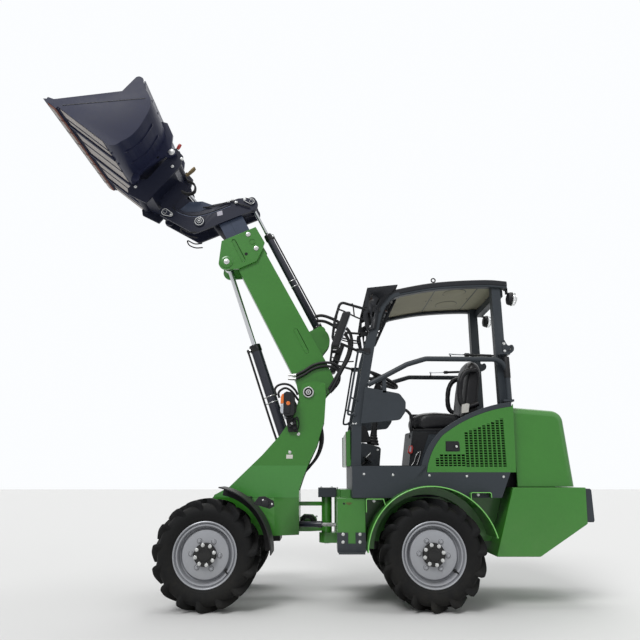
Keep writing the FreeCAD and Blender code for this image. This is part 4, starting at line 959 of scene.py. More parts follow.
def cab_frame():
    """The cab's posts, bent over at the front into thin rails under the roof, with their ties and
    the side rails' hinges."""
    item = bevelled("roof_frame", GREY, CHASSIS, 0)
    cutter = Build()
    for side in (-1, 1):
        cutter.plate([(-250, 2000), (-250, 2550), (-1600, 2550), (-1600, 2330), (-1374.5, 2330),
            (-1374.5, 2000)], side * 0.3375, side * 0.45)
        cutter.block(at(-1600, side * 0.405, 1889), at(-1449.05, side * 0.4305, 2050))
    carve(item, cutter)
    item.data.set_sharp_from_angle(angle=math.radians(35))
    bend, rear = Build(), Build()
    front_edge = curve_through(POST_EDGE, 6)
    rear_edge = curve_through([(-399.9, 2000), (-421, 2080), (-445, 2180), (-478, 2270),
        (-520, 2330), (-566, 2364), (-612, 2381)], 6)
    line = [tuple(p) for p in front_edge] + [tuple(p) for p in rear_edge][::-1]
    bend.plate([(-323, 1990)] + line + [(-397, 1990)], 0.3627, 0.4373)
    rail = [(a, z - 45) for a, z in ROOF_TOP if a < -590]
    bend.plate([(a, z + 6) for a, z in rail] + [(a, z - 16) for a, z in rail][::-1], 0.375, 0.432)
    bend.done("cab_bends", GREY, CHASSIS, bevel=0.005, twin=True)
    rear.plate([(-1448.7, 2320), (-1448.7, 2480), (-1375.3, 2480), (-1375.3, 2320)], 0.3383, 0.4117)
    rear.plate([(-1428, 1889.5), (-1428, 2012), (-1450, 2008), (-1458, 1988), (-1468, 1968),
        (-1482, 1961), (-1498, 1969), (-1511, 1968), (-1520, 1955), (-1523, 1938), (-1517, 1918),
        (-1503, 1904), (-1484, 1894), (-1466, 1889.5)], 0.4118, 0.4203)
    rear.done("post_heads", GREY, CHASSIS, bevel=0.002, twin=True)
    # Painted shade: a black bar on each post head's lobe stands for the dark inside its slot.
    Build().bar(level(0.4204, (-1470, 1917), (-1486, 1924), (-1497, 1938), (-1500, 1954)), 5,
        0.0045, 8).done("lobe_slot_shades", GLOSS, CHASSIS, twin=True)


# The side rails' tube: its place in y, its radius, and its hinge from the steering pivot in mm.
RAIL_Y, RAIL_TUBE = 0.464, 0.0205
RAIL_HINGE = -1436


def bent(points, radius):
    """A broken line with its inner corners rounded, in space."""
    points = [np.array(p, float) for p in points]
    line = [points[0]]
    for before, corner, after in zip(points, points[1:], points[2:]):
        u, v = before - corner, after - corner
        u, v = unit(u), unit(v)
        half = math.acos(np.clip(u.dot(v), -1, 1)) / 2
        reach = radius / math.tan(half)
        centre = corner + (u + v) / np.linalg.norm(u + v) * radius / math.sin(half)
        a, b = corner + u * reach - centre, corner + v * reach - centre
        turn = math.acos(np.clip(a.dot(b) / radius ** 2, -1, 1))
        for k in np.linspace(0, 1, 9):
            line.append(centre + (a * math.sin((1 - k) * turn) + b * math.sin(k * turn)) /
                math.sin(turn))
    line.append(points[-1])
    return np.array(line)


def side_rails():
    """Each side rail: a bent tube with a rounded plate in front, hinge pins and a stud."""
    hinge = row(RAIL_HINGE)
    for label, side in (("left", 1), ("right", -1)):
        y = RAIL_Y * side
        build, pins = Build(), Build()
        path = bent([(hinge, y, 1.5163), (hinge, y, 1.838), at(-790, y, 1843), at(-640, y, 1798),
            at(-326, y, 1634)], 0.11)
        build.sweep(path, RAIL_TUBE, 20)
        outline = [(x, z) for x, _, z in bent(level(0, (-430, 1592), (-572, 1565), (-620, 1500),
            (-614, 1420), (-570, 1358), (-420, 1344)), 0.042)]
        outline = [(row(-302), 1.617)] + outline + [(row(-261), 1.329)]
        build.prism(outline, y - 0.004, y + 0.004)
        build.block(at(-470, y - 0.004, 1570), at(-440, y + 0.004, 1700))
        item = build.done("side_rail_" + label + "_bent", GREY, BODY_OF["side_rail_" + label],
            SLOT_OF["side_rail_" + label], bevel=0.0015)
        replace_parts(item, "side_rail_" + label)
        pins.lathe([(0.0245, 0), (0.0245, 0.16), (0.021, 0.168)], (hinge, y, 1.69), UP, 28)
        pins.lathe([(0.008, 0), (0.008, 0.06)], (hinge, y, 1.832), UP, 20)
        pins.lathe([(0.008, 0), (0.008, 0.036)], (hinge, y, 1.49), UP, 20)
        stud = y - side * 0.022
        pins.lathe([(0.005, 0), (0.005, 0.026)], (row(-996), stud, 1.8517), UP, 14)
        pins.block(at(-1010, y, 1840), at(-982, y - side * 0.034, 1856))
        pins.done("side_rail_" + label + "_pins", BLACK, BODY_OF["side_rail_" + label])


def carve(item, cutter):
    """Cut the shape of a Build out of a piece."""
    tool = mesh_of("cutter", np.vstack(cutter.points), cutter.faces)
    outward(tool)
    cut = item.modifiers.new("cut", "BOOLEAN")
    cut.object = tool
    cut.solver = "EXACT"
    bpy.context.view_layer.update()
    graph = bpy.context.evaluated_depsgraph_get()
    shape = bpy.data.meshes.new_from_object(item.evaluated_get(graph))
    item.modifiers.clear()
    item.data = shape
    bpy.data.objects.remove(tool)


def cab_fittings():
    """The lamp guard with its slots and lamps, grab handles, mirror glass, rear lamps, bolts."""
    guard = bevelled("visor", ROOF, CHASSIS, 0)
    slots = Build()
    for line in ([(-352, 2238), (-336, 2226), (-352, 2100), (-366, 2104)],
            [(-395, 2292), (-378, 2284), (-370, 2190), (-386, 2196)],
            [(-440, 2352), (-424, 2346), (-404, 2296), (-414, 2290)],
            [(-382, 2388), (-352, 2372), (-350, 2330), (-378, 2346)]):
        slots.plate(line, -0.6, 0.6)
    carve(guard, slots)
    behind = Build()
    edge = curve_through(POST_EDGE, 6)
    for side in (-1, 1):
        behind.plate([(-700, 1990), (-321, 1990)] + [tuple(p + (3, 0)) for p in edge] +
            [(-700, 2412)], side * 0.45, side * 0.6)
    carve(guard, behind)
    holes, inner_sheet = Build(), Build()
    inner_sheet.plate([(-425, 2100), (-470, 2120), (-600, 2400), (-560, 2404), (-470, 2330),
        (-430, 2230)], 0.345, 0.349)
    for a, z in ((-455, 2150), (-468, 2190), (-486, 2232), (-506, 2276), (-528, 2318),
            (-548, 2354)):
        holes.plate([(a + 12, z - 13), (a + 3, z + 15), (a - 11, z + 11), (a - 2, z - 17)], 0.3,
            0.4)
    holes.twin()
    sheet_item = inner_sheet.done("lamp_guard_sheets", ROOF, CHASSIS, smooth=False, twin=True)
    carve(sheet_item, holes)
    rails, pads, glass = Build(), Build(), Build()
    rails.bar([at(*p) for p in ((-330, 0.432, 1899), (-262, 0.455, 1902), (-247, 0.462, 1882),
        (-225, 0.462, 1760), (-186, 0.462, 1540), (-164, 0.462, 1420), (-176, 0.46, 1400),
        (-214, 0.436, 1404))], 8, 0.0085, 12)
    for a, z in ((-327, 1899), (-214, 1404)):
        rails.lathe([(0.016, 0), (0.016, 0.006), (0.01, 0.009)], at(a, 0.4365, z), OUT, 16)
    rails.sweep([at(-190, 0.461, 1533), at(-246, 0.436, 1512)], 0.007, 8)
    rails.done("grab_handles", GREY, CHASSIS, twin=True)
    pads.bar([at(*p) for p in ((-325, 0.436, 2170), (-250, 0.47, 2182), (-116, 0.52, 2232),
        (-88, 0.522, 2222), (-77, 0.522, 2160))], 8, 0.0065, 10)
    pads.bar([at(*p) for p in ((-205, 0.52, 2290), (-215, 0.515, 2255), (-222, 0.507, 2188))], 6,
        0.0055, 8)
    pads.bar([at(*p) for p in ((-265, 0.436, 1992), (-190, 0.475, 1996), (-110, 0.51, 2010),
        (-66, 0.522, 2052))], 8, 0.0065, 10)
    pads.bolts(((-418, 2262), (-300, 1915)), 0.4475, 0.0065)
    pads.done("mirror_stays", BLACK, CHASSIS, twin=True)
    low, high = np.array([row(-90), 1.901]), np.array([row(-190), 2.185])
    side = high - low
    normal = np.array([-side[1], side[0]])
    normal = normal / np.linalg.norm(normal) * (-1 if normal[0] > 0 else 1)
    corners = [low + side * 0.05, low + side * 0.95]
    line = [tuple(corners[0] + normal * 0.0005), tuple(corners[1] + normal * 0.0005),
        tuple(corners[1] + normal * 0.0025), tuple(corners[0] + normal * 0.0025)]
    glass.prism(line, 0.5405, 0.6575)
    glass.done("mirror_glasses", MIRROR, CHASSIS, smooth=False, twin=True)
    amber, lamp, lens, wire = Build(), Build(), Build(), Build()
    lamp.lathe([(0.03, -0.06), (0.047, -0.045), (0.05, 0.0), (0.047, 0.006)], at(-478, 0.3, 2335),
        (0.9, 0, 0.1), 36)
    amber.lathe([(0.052, -0.03), (0.052, 0.0), (0.046, 0.016), (0.03, 0.026), (0.01, 0.03)],
        at(-478, 0.3, 2335), (0.9, 0, 0.1), 36)
    lamp.block(at(-500, 0.294, 2375), at(-480, 0.306, 2408))
    centre = at(-1520, 0.378, 2372)
    back = (-1, 0, -0.12)
    lamp_rear = Build()
    lamp_rear.lathe([(0.03, -0.012), (0.05, -0.004), (0.055, 0.012), (0.055, 0.03), (0.051, 0.034)],
        centre, back, 40)
    lamp_rear.block(at(-1518, 0.366, 2410), at(-1500, 0.39, 2462))
    lamp_rear.block(at(-1518, 0.366, 2440), at(-1487, 0.39, 2452))
    lens.lathe([(0.05, 0.03), (0.049, 0.036), (0.03, 0.043), (0.008, 0.046)], centre, back, 40)
    for radius, along in ((0.058, 0.03), (0.05, 0.055), (0.026, 0.066)):
        wire.ring(centre, back, radius, 0.0022, 36, along, 8)
    axis = np.array(back) / math.hypot(1, 0.12)
    up = np.array([-0.12, 0, 1]) / math.hypot(1, 0.12)
    for turn in (0, 45, 90, 135):
        way = turned(up, np.array(OUT), turn)
        wire.bar([np.array(centre) + way * r + axis * h for r, h in
            ((0.058, 0.02), (0.056, 0.045), (0.03, 0.066), (0, 0.07), (-0.03, 0.066),
            (-0.056, 0.045), (-0.058, 0.02))], 3, 0.002, 6)
    item = lamp_rear.done("rear_lamp_housings", BLACK, CHASSIS, SLOT_OF["rear_lamps"], bevel=0.002,
        twin=True)
    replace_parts(item, "rear_lamps")
    lens.done("rear_lamp_lenses", LENS, CHASSIS, twin=True)
    wire.done("rear_lamp_cages", ZINC, CHASSIS, twin=True)
    lamp.done("roof_lamp_housings", BLACK, CHASSIS, twin=True)
    amber.done("roof_lamp_lenses", AMBER, CHASSIS, twin=True)
    bolts = Build()
    bolts.bolts(((-1443, 1976), (-1444, 1916)), 0.4205, 0.0068)
    bolts.bolts(((-205, 1330), (-225, 1330)), 0.4372, 0.005)
    bolts.done("cab_bolts", ZINC, CHASSIS, twin=True)
    Build().plate([(-146, 1012), (-146, 1270), (-150.5, 1272), (-150.5, 1012)], 0.3425,
        0.3665).done("cowl_edges", STONE, CHASSIS, bevel=0.001, twin=True)
    collars = Build()
    for a, z in ((-224, 1322), (-224, 1014)):
        collars.block((row(a - 41), 0.3598, z / 1000 - 0.006), (row(a + 41), 0.4402, z / 1000 +
            0.006))
    collars.done("post_collars", GREY, CHASSIS, bevel=0.001, twin=True)


def seat_box():
    """The box beside the seat, without its stick: the photographed machine has a bent lever."""
    item = bevelled("seat_console", BLACK, CHASSIS, 0)
    cutter = Build()
    cutter.block(at(-850, -0.32, 1469.5), at(-750, -0.24, 1700))
    carve(item, cutter)


seat()
seat_box()
steering()
roof_shell()
cab_frame()
side_rails()
cab_fittings()


# Front frame and arm

# Outer faces in y: the arm's end plates, its head, the coupler's plates, the ears behind the
# bucket, the tower's plates and the pin's washer.
HEAD_PLATE, HEAD_FACE, COUPLER_FACE, EAR_FACE = 0.1503, 0.1262, 0.235, 0.2595
TOWER, PIN_FACE = 0.185, 0.1935
LAMP_NEAR, LAMP_FAR = 0.197, 0.288


def coupler_point(u, v, y=0.0):
    """A point on the coupler: millimetres along the bucket's floor and up from it."""
    base = arm(2080, -408)
    c, n = math.cos(math.radians(38.4)), math.sin(math.radians(38.4))
    return (base[0] + (u * c - v * n) / 1000, y, base[2] + (u * n + v * c) / 1000)


def bucket_point(u, v, y=0.0):
    """A point on the bucket: millimetres along its floor from the heel and up from it."""
    return coupler_point(u + 466, v + 38, y)


def flat(point, line):
    """An outline in a carrier's own millimetres as (x, z)."""
    return [(point(*spot)[0], point(*spot)[2]) for spot in line]


def retainer(build, dark, centre, tail, y, radius=0.026, small=0.013):
    """A pin's flat keeper: a drop shape round the pin with a bolt at its tail, edges proud."""
    c, t = np.array(centre, float)[[0, 2]], np.array(tail, float)[[0, 2]]
    way = t - c
    length = np.linalg.norm(way)
    base = math.atan2(way[1], way[0])
    spread = math.acos(min((radius - small) / length, 1))
    line = [c + radius * np.array([math.cos(k), math.sin(k)]) for k in
        np.linspace(base + spread, base + 2 * math.pi - spread, 18)]
    line += [t + small * np.array([math.cos(k), math.sin(k)]) for k in
        np.linspace(base - spread, base + spread, 8)]
    dark.prism(line, y, y + math.copysign(0.005, y))
    build.sweep([(p[0], y + math.copysign(0.005, y), p[1]) for p in line + line[:2]], 0.003, 8)
    side = (0, math.copysign(1, y), 0)
    face = y + math.copysign(0.006, y)
    dark.lathe([(0.017, 0), (0.017, 0.004), (0.014, 0.006)], (c[0], face, c[1]), side, 28)
    build.ring((c[0], face, c[1]), side, 0.0155, 0.0022, 28, 0.003)
    build.bolt((t[0], face, t[1]), side, 0.0065)


def front_tower():
    """The band on the tower's side plates, the arm's pin washers, the lamps and their fittings."""
    Build().plate([(609, 1017), (783, 848), (897, 789), (909, 768), (224, 768), (224, 826),
        (193.5, 919), (154, 1017)], TOWER - 0.001, TOWER + 0.0018).done("tower_bands", BAND_GREEN,
        FRONT, smooth=False, twin=True)
    Build().lathe([(0.023, 0), (0.023, 0.001), (0, 0.001)], at(430, TOWER, 1010), OUT,
        40).done("hole_plugs", GREEN, FRONT, twin=True)
    Build().plate([(330, 1072), (330, 1103), (277, 1103), (277, 1072)], TOWER, TOWER +
        0.0008).done("tower_labels", PALE, FRONT, smooth=False, twin=True)
    recess = Build()
    # Painted shade: flat black rings lie in the pin washers' recesses, with a black disc at each
    # bolt head.
    recess.lathe([(0.0352, 0.0055), (0.0242, 0.0055)], at(152, PIN_FACE, 1612), OUT, 48)
    recess.lathe([(0.013, 0.0142), (0.0, 0.0143)], at(152, PIN_FACE, 1612), OUT, 24)
    recess.done("pin_recess_shades", GLOSS, FRONT, twin=True)
    washers = Build()
    centre = at(152, PIN_FACE, 1612)
    washers.lathe([(0.046, 0), (0.046, 0.005), (0.043, 0.008), (0.036, 0.008), (0.034, 0.005),
        (0.024, 0.005), (0.022, 0.008), (0.012, 0.008)], centre, OUT, 48)
    washers.bolt((centre[0], centre[1] + 0.008, centre[2]), OUT, 0.009, washer=False)
    washers.bolts(((404, 738), (470, 766)), 0.632, 0.0075)
    washers.bolt(at(232, TOWER, 1268), OUT, 0.0085)
    washers.bolt(at(286, 0.216, 1352), OUT, 0.007)
    washers.bolt(at(301, TOWER, 1122), OUT, 0.0085)
    washers.done("tower_bolts", ZINC, FRONT, twin=True)
    bracket = Build()
    bracket.plate([(540, 738), (500, 790), (455, 792), (392, 760), (386, 722), (420, 704)], 0.6325,
        0.6385)
    bracket.lathe([(0.026, 0), (0.026, 0.012), (0.02, 0.015)], at(452, 0.6385, 742), OUT, 28)
    bracket.done("fender_brackets", BLACK, FRONT, bevel=0.0015, twin=True)
    house, amber, clear, black = Build(), Build(), Build(), Build()
    house.plate([(270, 1412), (262, 1440), (262, 1560), (284, 1598), (330, 1606), (352, 1590),
        (352, 1420), (336, 1404)], 0.193, 0.292)
    house.plate([(300, 1425), (292, 1560), (306, 1590), (330, 1590), (340, 1560), (340, 1430)],
        0.292, 0.297)
    item = house.done("headlamp_housings", BLACK, FRONT, SLOT_OF["headlamps"], bevel=0.006)
    mirror_of(item)
    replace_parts(item, "headlamps")
    clear.plate([(352, 1424), (352, 1506), (376, 1500), (379, 1450), (372, 1428)], LAMP_NEAR,
        LAMP_FAR)
    amber.plate([(352, 1509), (352, 1588), (366, 1584), (376, 1560), (378, 1506)], LAMP_NEAR,
        LAMP_FAR)
    amber.lathe([(0.017, 0), (0.0165, 0.003), (0.01, 0.005)], at(314, 0.297, 1508), OUT, 28)
    clear.done("headlamp_lenses", LENS, FRONT, bevel=0.003, twin=True)
    amber.done("indicator_lenses", AMBER, FRONT, bevel=0.003, twin=True)
    black.plate([(236, 1285), (314, 1285), (338, 1401), (258, 1401)], TOWER + 0.0005, 0.214)
    for a, z in ((262, 1352), (286, 1385), (300, 1330), (262, 1310)):
        black.lathe([(0.014, 0), (0.014, 0.02), (0.009, 0.024), (0.009, 0.034)], at(a, 0.212, z),
            OUT, 14)
    for shift in (0, 0.014):
        black.bar([(row(270), 0.24, 1.36 + shift), (row(240), 0.252, 1.385 + shift),
            at(228, 0.23, 1345), at(240, 0.2, 1300)], 6, 0.0045, 8)
    black.done("lamp_brackets", BLACK, FRONT, twin=True)


def mirror_of(item):
    """Give a one-sided piece its mirror image on the other side as well."""
    work = bmesh.new()
    work.from_mesh(item.data)
    made = bmesh.ops.duplicate(work, geom=work.verts[:] + work.edges[:] + work.faces[:])["geom"]
    for vert in [v for v in made if isinstance(v, bmesh.types.BMVert)]:
        vert.co.y = -vert.co.y
    bmesh.ops.recalc_face_normals(work, faces=work.faces)
    work.to_mesh(item.data)
    work.free()


def arm_details():
    """Bolts, keepers and marks on the arm, its head and the coupler, with pipes and clamps."""
    head_body, coupler_body = BODY_OF["arm_head"], BODY_OF["coupler"]
    bolts = Build()
    for s_, r_ in ((1527, 170), (1373, 176)):
        spot = arm(s_, r_, HEAD_PLATE)
        bolts.lathe([(0.021, 0), (0.021, 0.005), (0.018, 0.007)], spot, OUT, 32)
        bolts.bolt((spot[0], spot[1] + 0.007, spot[2]), OUT, 0.0115, washer=False)
    lift = arm(1378, -114, 0.1563)
    bolts.lathe([(0.0255, 0), (0.0255, 0.004), (0.022, 0.006)], lift, OUT, 32)
    bolts.bolt((lift[0], lift[1] + 0.006, lift[2]), OUT, 0.009, washer=False)
    bolts.done("arm_bolts", ZINC, ARM, twin=True)
    marks, dark = Build(), Build()
    marks.lathe([(0.027, 0), (0.027, 0.0035), (0.0235, 0.0035), (0.0235, 0)],
        arm(1449, 172, HEAD_PLATE), OUT, 40, loop=True)
    lobe = arm(1378, -114, HEAD_PLATE)
    marks.lathe([(0.056, 0), (0.056, 0.004), (0.053, 0.006), (0.03, 0.006)], lobe, OUT, 40)
    for s_low, s_high, r_mid, y in ((1326, 1533, 26, HEAD_PLATE), (330, 540, 150, 0.1303)):
        line = [(s_low, r_mid + 17), (s_high, r_mid + 17)]
        line += [(s_high + 17 * math.sin(k), r_mid + 17 * math.cos(k)) for k in
            np.linspace(0.2, 2.94, 9)]
        line += [(s_high, r_mid - 17), (s_low, r_mid - 17)]
        line += [(s_low - 17 * math.sin(k), r_mid - 17 * math.cos(k)) for k in
            np.linspace(0.2, 2.94, 9)]
        marks.sweep([arm(*p, y) for p in line + line[:2]], 0.0026, 6)
    marks.done("arm_marks", GREEN, ARM, twin=True)
    # Painted shade: a short black cylinder stands for the dark inside a hole in the head plate.
    dark.lathe([(0.0145, -0.01), (0.0145, 0.0012)], arm(1366, 73, HEAD_PLATE), OUT, 28)
    dark.done("arm_hole_shades", GLOSS, ARM, twin=True)
    seam = Build()
    for s_ in (1795, 1862):
        seam.sweep([arm(s_ - 240, 80, 0.099), arm(s_ - 40, 80, 0.099)], 0.0012, 6)
    seam.done("tube_seams", HEAD, BODY_OF["inner_arm"], twin=True)
    keep, dull = Build(), Build()
    y = 0.1255
    for side in (1, -1):
        retainer(keep, dull, arm(1815, 338), arm(1860, 296), side * (y + 0.0065), 0.027, 0.016)
        retainer(keep, dull, arm(2080, -408), arm(2032, -372), side * (y + 0.012), 0.031, 0.016)
        keep.ring(arm(1857, -169, side * (y + 0.0105)), (0, side, 0), 0.038, 0.0042)
        dull.lathe([(0.034, 0), (0.034, 0.004), (0.03, 0.006)], arm(1857, -169, side *
            (y + 0.0105)), (0, side, 0), 36)
        keep.ring(arm(1857, -169, side * (y + 0.0165)), (0, side, 0), 0.02, 0.0025)
        keep.bolt(arm(1857, -169, side * (y + 0.0165)), (0, side, 0), 0.0085, washer=False)
        keep.block(np.array(arm(1905, 190, side * 0.131)) - (0.012, 0.004, 0.012),
            np.array(arm(1905, 190, side * 0.131)) + (0.012, 0.004, 0.012))
    keep.done("head_keepers", ZINC, head_body)
    dull.done("head_keeper_plates", HEAD, head_body)
    # Painted highlight: a pale blue line along the head's curved edge.
    edge = Build()
    step_shade = Build()
    # Painted shade: a black line 9 mm in from the bright edge darkens the step in the head plate.
    for shift, build, size in ((0, edge, 0.0024), (9, step_shade, 0.0042)):
        line = curve_through([arm(1866 + shift, 150, HEAD_FACE), arm(1875 + shift, 35, HEAD_FACE),
            arm(1893 + shift, -98, HEAD_FACE), arm(1932 + shift, -206, HEAD_FACE),
            arm(2013 + shift, -295, HEAD_FACE), arm(2096, -330, HEAD_FACE)], 6)
        build.sweep(line, size, 6)
    step_shade.done("head_step_shades", GLOSS, head_body, twin=True)
    edge.done("head_painted_highlights", HIGHLIGHT_BLUE, head_body, twin=True)
    pipe, clamps = Build(), Build()
    pipe.bar([arm(1768, 300, 0.137), arm(1800, 268, 0.139), arm(1850, 222, 0.139),
        arm(1895, 195, 0.137), arm(1915, 110, 0.135), arm(1925, 40, 0.13), arm(1980, -80, 0.1)], 8,
        0.0055, 10)
    pipe.bar([arm(1770, -236, 0.136), arm(1800, -300, 0.14), arm(1862, -346, 0.145),
        arm(1815, -352, 0.145), arm(1760, -310, 0.14), arm(1722, -250, 0.12)], 8, 0.006, 10)
    pipe.done("head_hoses", HOSE, head_body, twin=True)
    for s_, r_ in ((1868, 210), (1908, 150)):
        spot = arm(s_, r_, 0.1385)
        clamps.block(np.array(spot) - (0.013, 0.009, 0.009), np.array(spot) +
            (0.013, 0.0085, 0.009))
        clamps.bolt((spot[0], spot[1] + 0.0085, spot[2]), OUT, 0.0055)
    clamps.done("head_clamps", ZINC, head_body, twin=True)
    Build().prism([(row(994), 3.236), (row(1001), 3.278), (row(953), 3.291), (row(946), 3.249)],
        0.1252, 0.1266).done("head_tag", TAG, head_body, smooth=False, twin=True)
    # Coupler: side bolts, lock lever, hydraulic couplings
    fit, body, lever, red = Build(), Build(), Build(), Build()
    for u, v in ((190, 470), (205, 360), (330, 0)):
        fit.bolt(coupler_point(u, v, COUPLER_FACE), OUT, 0.0095)
    fit.lathe([(0.03, 0), (0.03, 0.004), (0.024, 0.007)], coupler_point(290, 455, 0.2672), OUT, 28)
    fit.twin()
    for shift in (0.0, 0.03):
        fit.sweep([at(1458, 0.1 + shift, 3897), at(1509, 0.1 + shift, 3812)], 0.0075, 10)
    fit.sweep(level(0.1, (1404, 3944), (1421, 3907), (1452, 3868)), [0.009, 0.0085, 0.008], 10)
    fit.ring(at(1369, 0.1, 3833), OUT, 0.02, 0.0045, 24)
    fit.sweep([at(1385, 0.1, 3845), at(1432, 0.1, 3870)], 0.006, 8)
    fit.done("coupler_fittings", ZINC, coupler_body)
    red.sweep(level(0.1, (1408, 3936), (1396, 3960), (1384, 3985)), [0.013, 0.017, 0.015], 14)
    red.done("lever_knob", RED, coupler_body)
    lever.bar(level(0.04, (1420, 3895), (1448, 3860), (1470, 3820), (1478, 3760)), 5, 0.012, 10)
    for y in (0.16, 0.178, 0.196):
        lever.bar(level(y, (1300, 3620), (1269, 3563), (1232, 3545), (1202, 3510), (1206, 3452),
            (1262, 3430), (1322, 3455)), 6, 0.0075, 10)
    lever.done("coupler_hoses", HOSE, coupler_body)
    for y in (0.165, 0.19):
        body.sweep(level(y, (1300, 3610), (1262, 3640), (1232, 3672), (1214, 3694)),
            [0.008, 0.010, 0.013, 0.010], 14)
    body.done("quick_couplings", BRASS, coupler_body)
    Build().prism(flat(arm, [(1962, 10), (2040, -60), (2090, -170), (2060, -280), (2010, -240),
        (1955, -120)]), 0.0985, 0.1015).done("head_guards", TUBE, head_body, bevel=0.001, twin=True)


def tower_hoses():
    """The hoses at the arm's foot and at the steering joint, and the valve block."""
    hoses, ends, block = Build(), Build(), Build()
    for dz in (0, -32):
        path = [(-44, 1660), (-104, 1740), (-104, 1820), (-60, 1862), (20, 1872), (110, 1850),
            (190, 1800), (262, 1764)]
        hoses.bar([at(a, 0.145, z + dz) for a, z in path], 8, 0.0115, 12)
        ends.sweep(level(0.145, (258, 1766 + dz), (285, 1763 + dz), (326, 1764 + dz)),
            [0.013, 0.012, 0.0095], 12)
    for dy, path in ((0.0, [(-28, 1607), (-61, 1662), (-128, 1795), (-185, 1895), (-213, 1990),
            (-215, 2060), (-198, 2125), (-150, 2180), (-70, 2235), (30, 2272), (99, 2265)]),
            (-0.05, [(-20, 1640), (-96, 1768), (-164, 1892), (-196, 1990), (-190, 2070),
            (-150, 2130), (-80, 2185), (10, 2232), (90, 2240)])):
        hoses.bar([at(a, 0.2 + dy, z) for a, z in path], 6, 0.0135, 12)
    hoses.done("arm_foot_hoses", HOSE, ARM)
    ends.done("arm_foot_ends", ZINC, ARM)
    loops = Build()
    for line in ([(418, 1585, 0.195), (432, 1630, 0.2), (408, 1666, 0.2), (355, 1680, 0.2),
            (303, 1667, 0.2), (262, 1628, 0.198), (240, 1590, 0.19)],
            [(392, 1560, 0.235), (398, 1600, 0.235), (374, 1628, 0.235), (338, 1640, 0.235),
            (293, 1616, 0.23), (256, 1572, 0.215), (236, 1545, 0.197)]):
        loops.bar([at(a, y, z) for a, z, y in line], 8, 0.0095, 12)
    back = Build()
    for k in range(3):
        line = [at(a + 9 * k, y - 0.034 * k, z - 8 * k) for a, z, y in
            [(96, 1440, 0.14), (44, 1330, 0.145), (34, 1210, 0.14), (70, 1100, 0.13),
            (140, 1010, 0.12), (205, 940, 0.10)]]
        back.bar(line, 8, 0.011, 10)
    back.done("tower_back_hoses", HOSE, FRONT)
    loops.done("lamp_hoses", HOSE, FRONT)
    block.plate([(221, 496), (221, 604), (184, 633), (111, 629), (80, 596), (80, 520), (127, 496)],
        -0.015, -0.005)
    block.done("valve_brackets", GREEN, FRONT, bevel=0.002)
    tubes = Build()
    for k, (a, z) in enumerate(((196, 600), (180, 590), (166, 604))):
        tubes.bar([at(221, 0.002 + 0.009 * k, z - 60), at(a, 0.002 + 0.009 * k, z + 10),
            at(a - 44, 0.002 + 0.009 * k, z + 12), at(a - 78, 0.002 + 0.009 * k, z - 24),
            at(a - 96, 0.0, z - 46)], 5, 0.008, 10)
    tubes.done("steering_hoses", HOSE, FRONT)
    screws = Build()
    screws.bolts(((84, 614), (104, 566), (140, 604), (160, 540)), -0.005, 0.006)
    screws.done("valve_bolts", ZINC, FRONT)
    Build().block(at(-76, -0.088, 767.5), at(70, 0.088, 841.5)).done("steering_cap", GREY, CHASSIS,
        bevel=0.003)
    cap_bolts = Build()
    for a in (-44, 44):
        for y in (-0.05, 0.05):
            cap_bolts.bolt(at(a, y, 841.5), UP, 0.008)
    cap_bolts.bolt(at(-84, 0.06, 838), OUT, 0.007)
    cap_bolts.lathe([(0.03, 0), (0.03, -0.018), (0.024, -0.022), (0.012, -0.022)], at(0, 0, 428.5),
        UP, 32)
    cap_bolts.done("steering_cap_bolts", ZINC, CHASSIS)


def ram_details(body, foot, head, barrel, radius, pipe_side, prefix, gap, pipe):
    """A ram's gland, ports, side pipe and clamps along its barrel, on the barrel's body."""
    foot, head = np.array(foot, float), np.array(head, float)
    way = unit(head - foot)
    out = np.array(pipe_side, float)
    out -= way * out.dot(way)
    out = unit(out)
    dark, bright = Build(), Build()
    dark.lathe([(radius + 0.003, -0.06), (radius + 0.006, -0.055), (radius + 0.006, -0.008),
        (radius + 0.003, 0.0), (radius - 0.012, 0.004)], foot + way * barrel, way, 32)
    dark.lathe([(radius + 0.004, 0), (radius + 0.006, 0.006), (radius + 0.006, 0.02),
        (radius + 0.003, 0.026)], foot + way * (radius + 0.02), way, 32)
    reach = radius + gap
    near, far = foot + way * (radius + 0.06), foot + way * (barrel - 0.035)
    path = [near + out * (radius - 0.004), near + out * reach + way * 0.02, far - way * 0.06 + out *
        reach, far - way * 0.02 + out * reach, far + out * (radius - 0.002)]
    dark.bar(path, 5, pipe, 12)
    for share in (0.47, 0.525):
        spot = foot + way * (barrel * share)
        bright.ring(spot, way, radius + 0.0015, 0.0035, 32)
        bright.sweep([spot + out * (radius - 0.004), spot + out * (reach + pipe)], 0.0055, 10)
    bright.lathe([(0.013, 0), (0.013, 0.014), (0.009, 0.02)], far + out * (radius - 0.004), out, 6)
    bright.lathe([(0.013, 0), (0.013, 0.014), (0.009, 0.02)], near + out * (radius - 0.004), out, 6)
    dark.done(prefix + "_pipe", GLOSS, body)
    bright.done(prefix + "_clamps", ZINC, body)


LIFT_FOOT = at(305, 0, 1105)
ram_details(BODY_OF["lift_ram_barrel"], LIFT_FOOT, arm(1378, -114), 1.002, 0.046, (1, 0.35, 0),
    "lift_ram", 0.028, 0.0095)
ram_details(BODY_OF["telescope_ram_barrel"], arm(432, 338), arm(1815, 338), 1.068, 0.032,
    (-1, 0.25, 0.3), "telescope_ram", 0.012, 0.007)
front_tower()
arm_details()
tower_hoses()


# Bucket

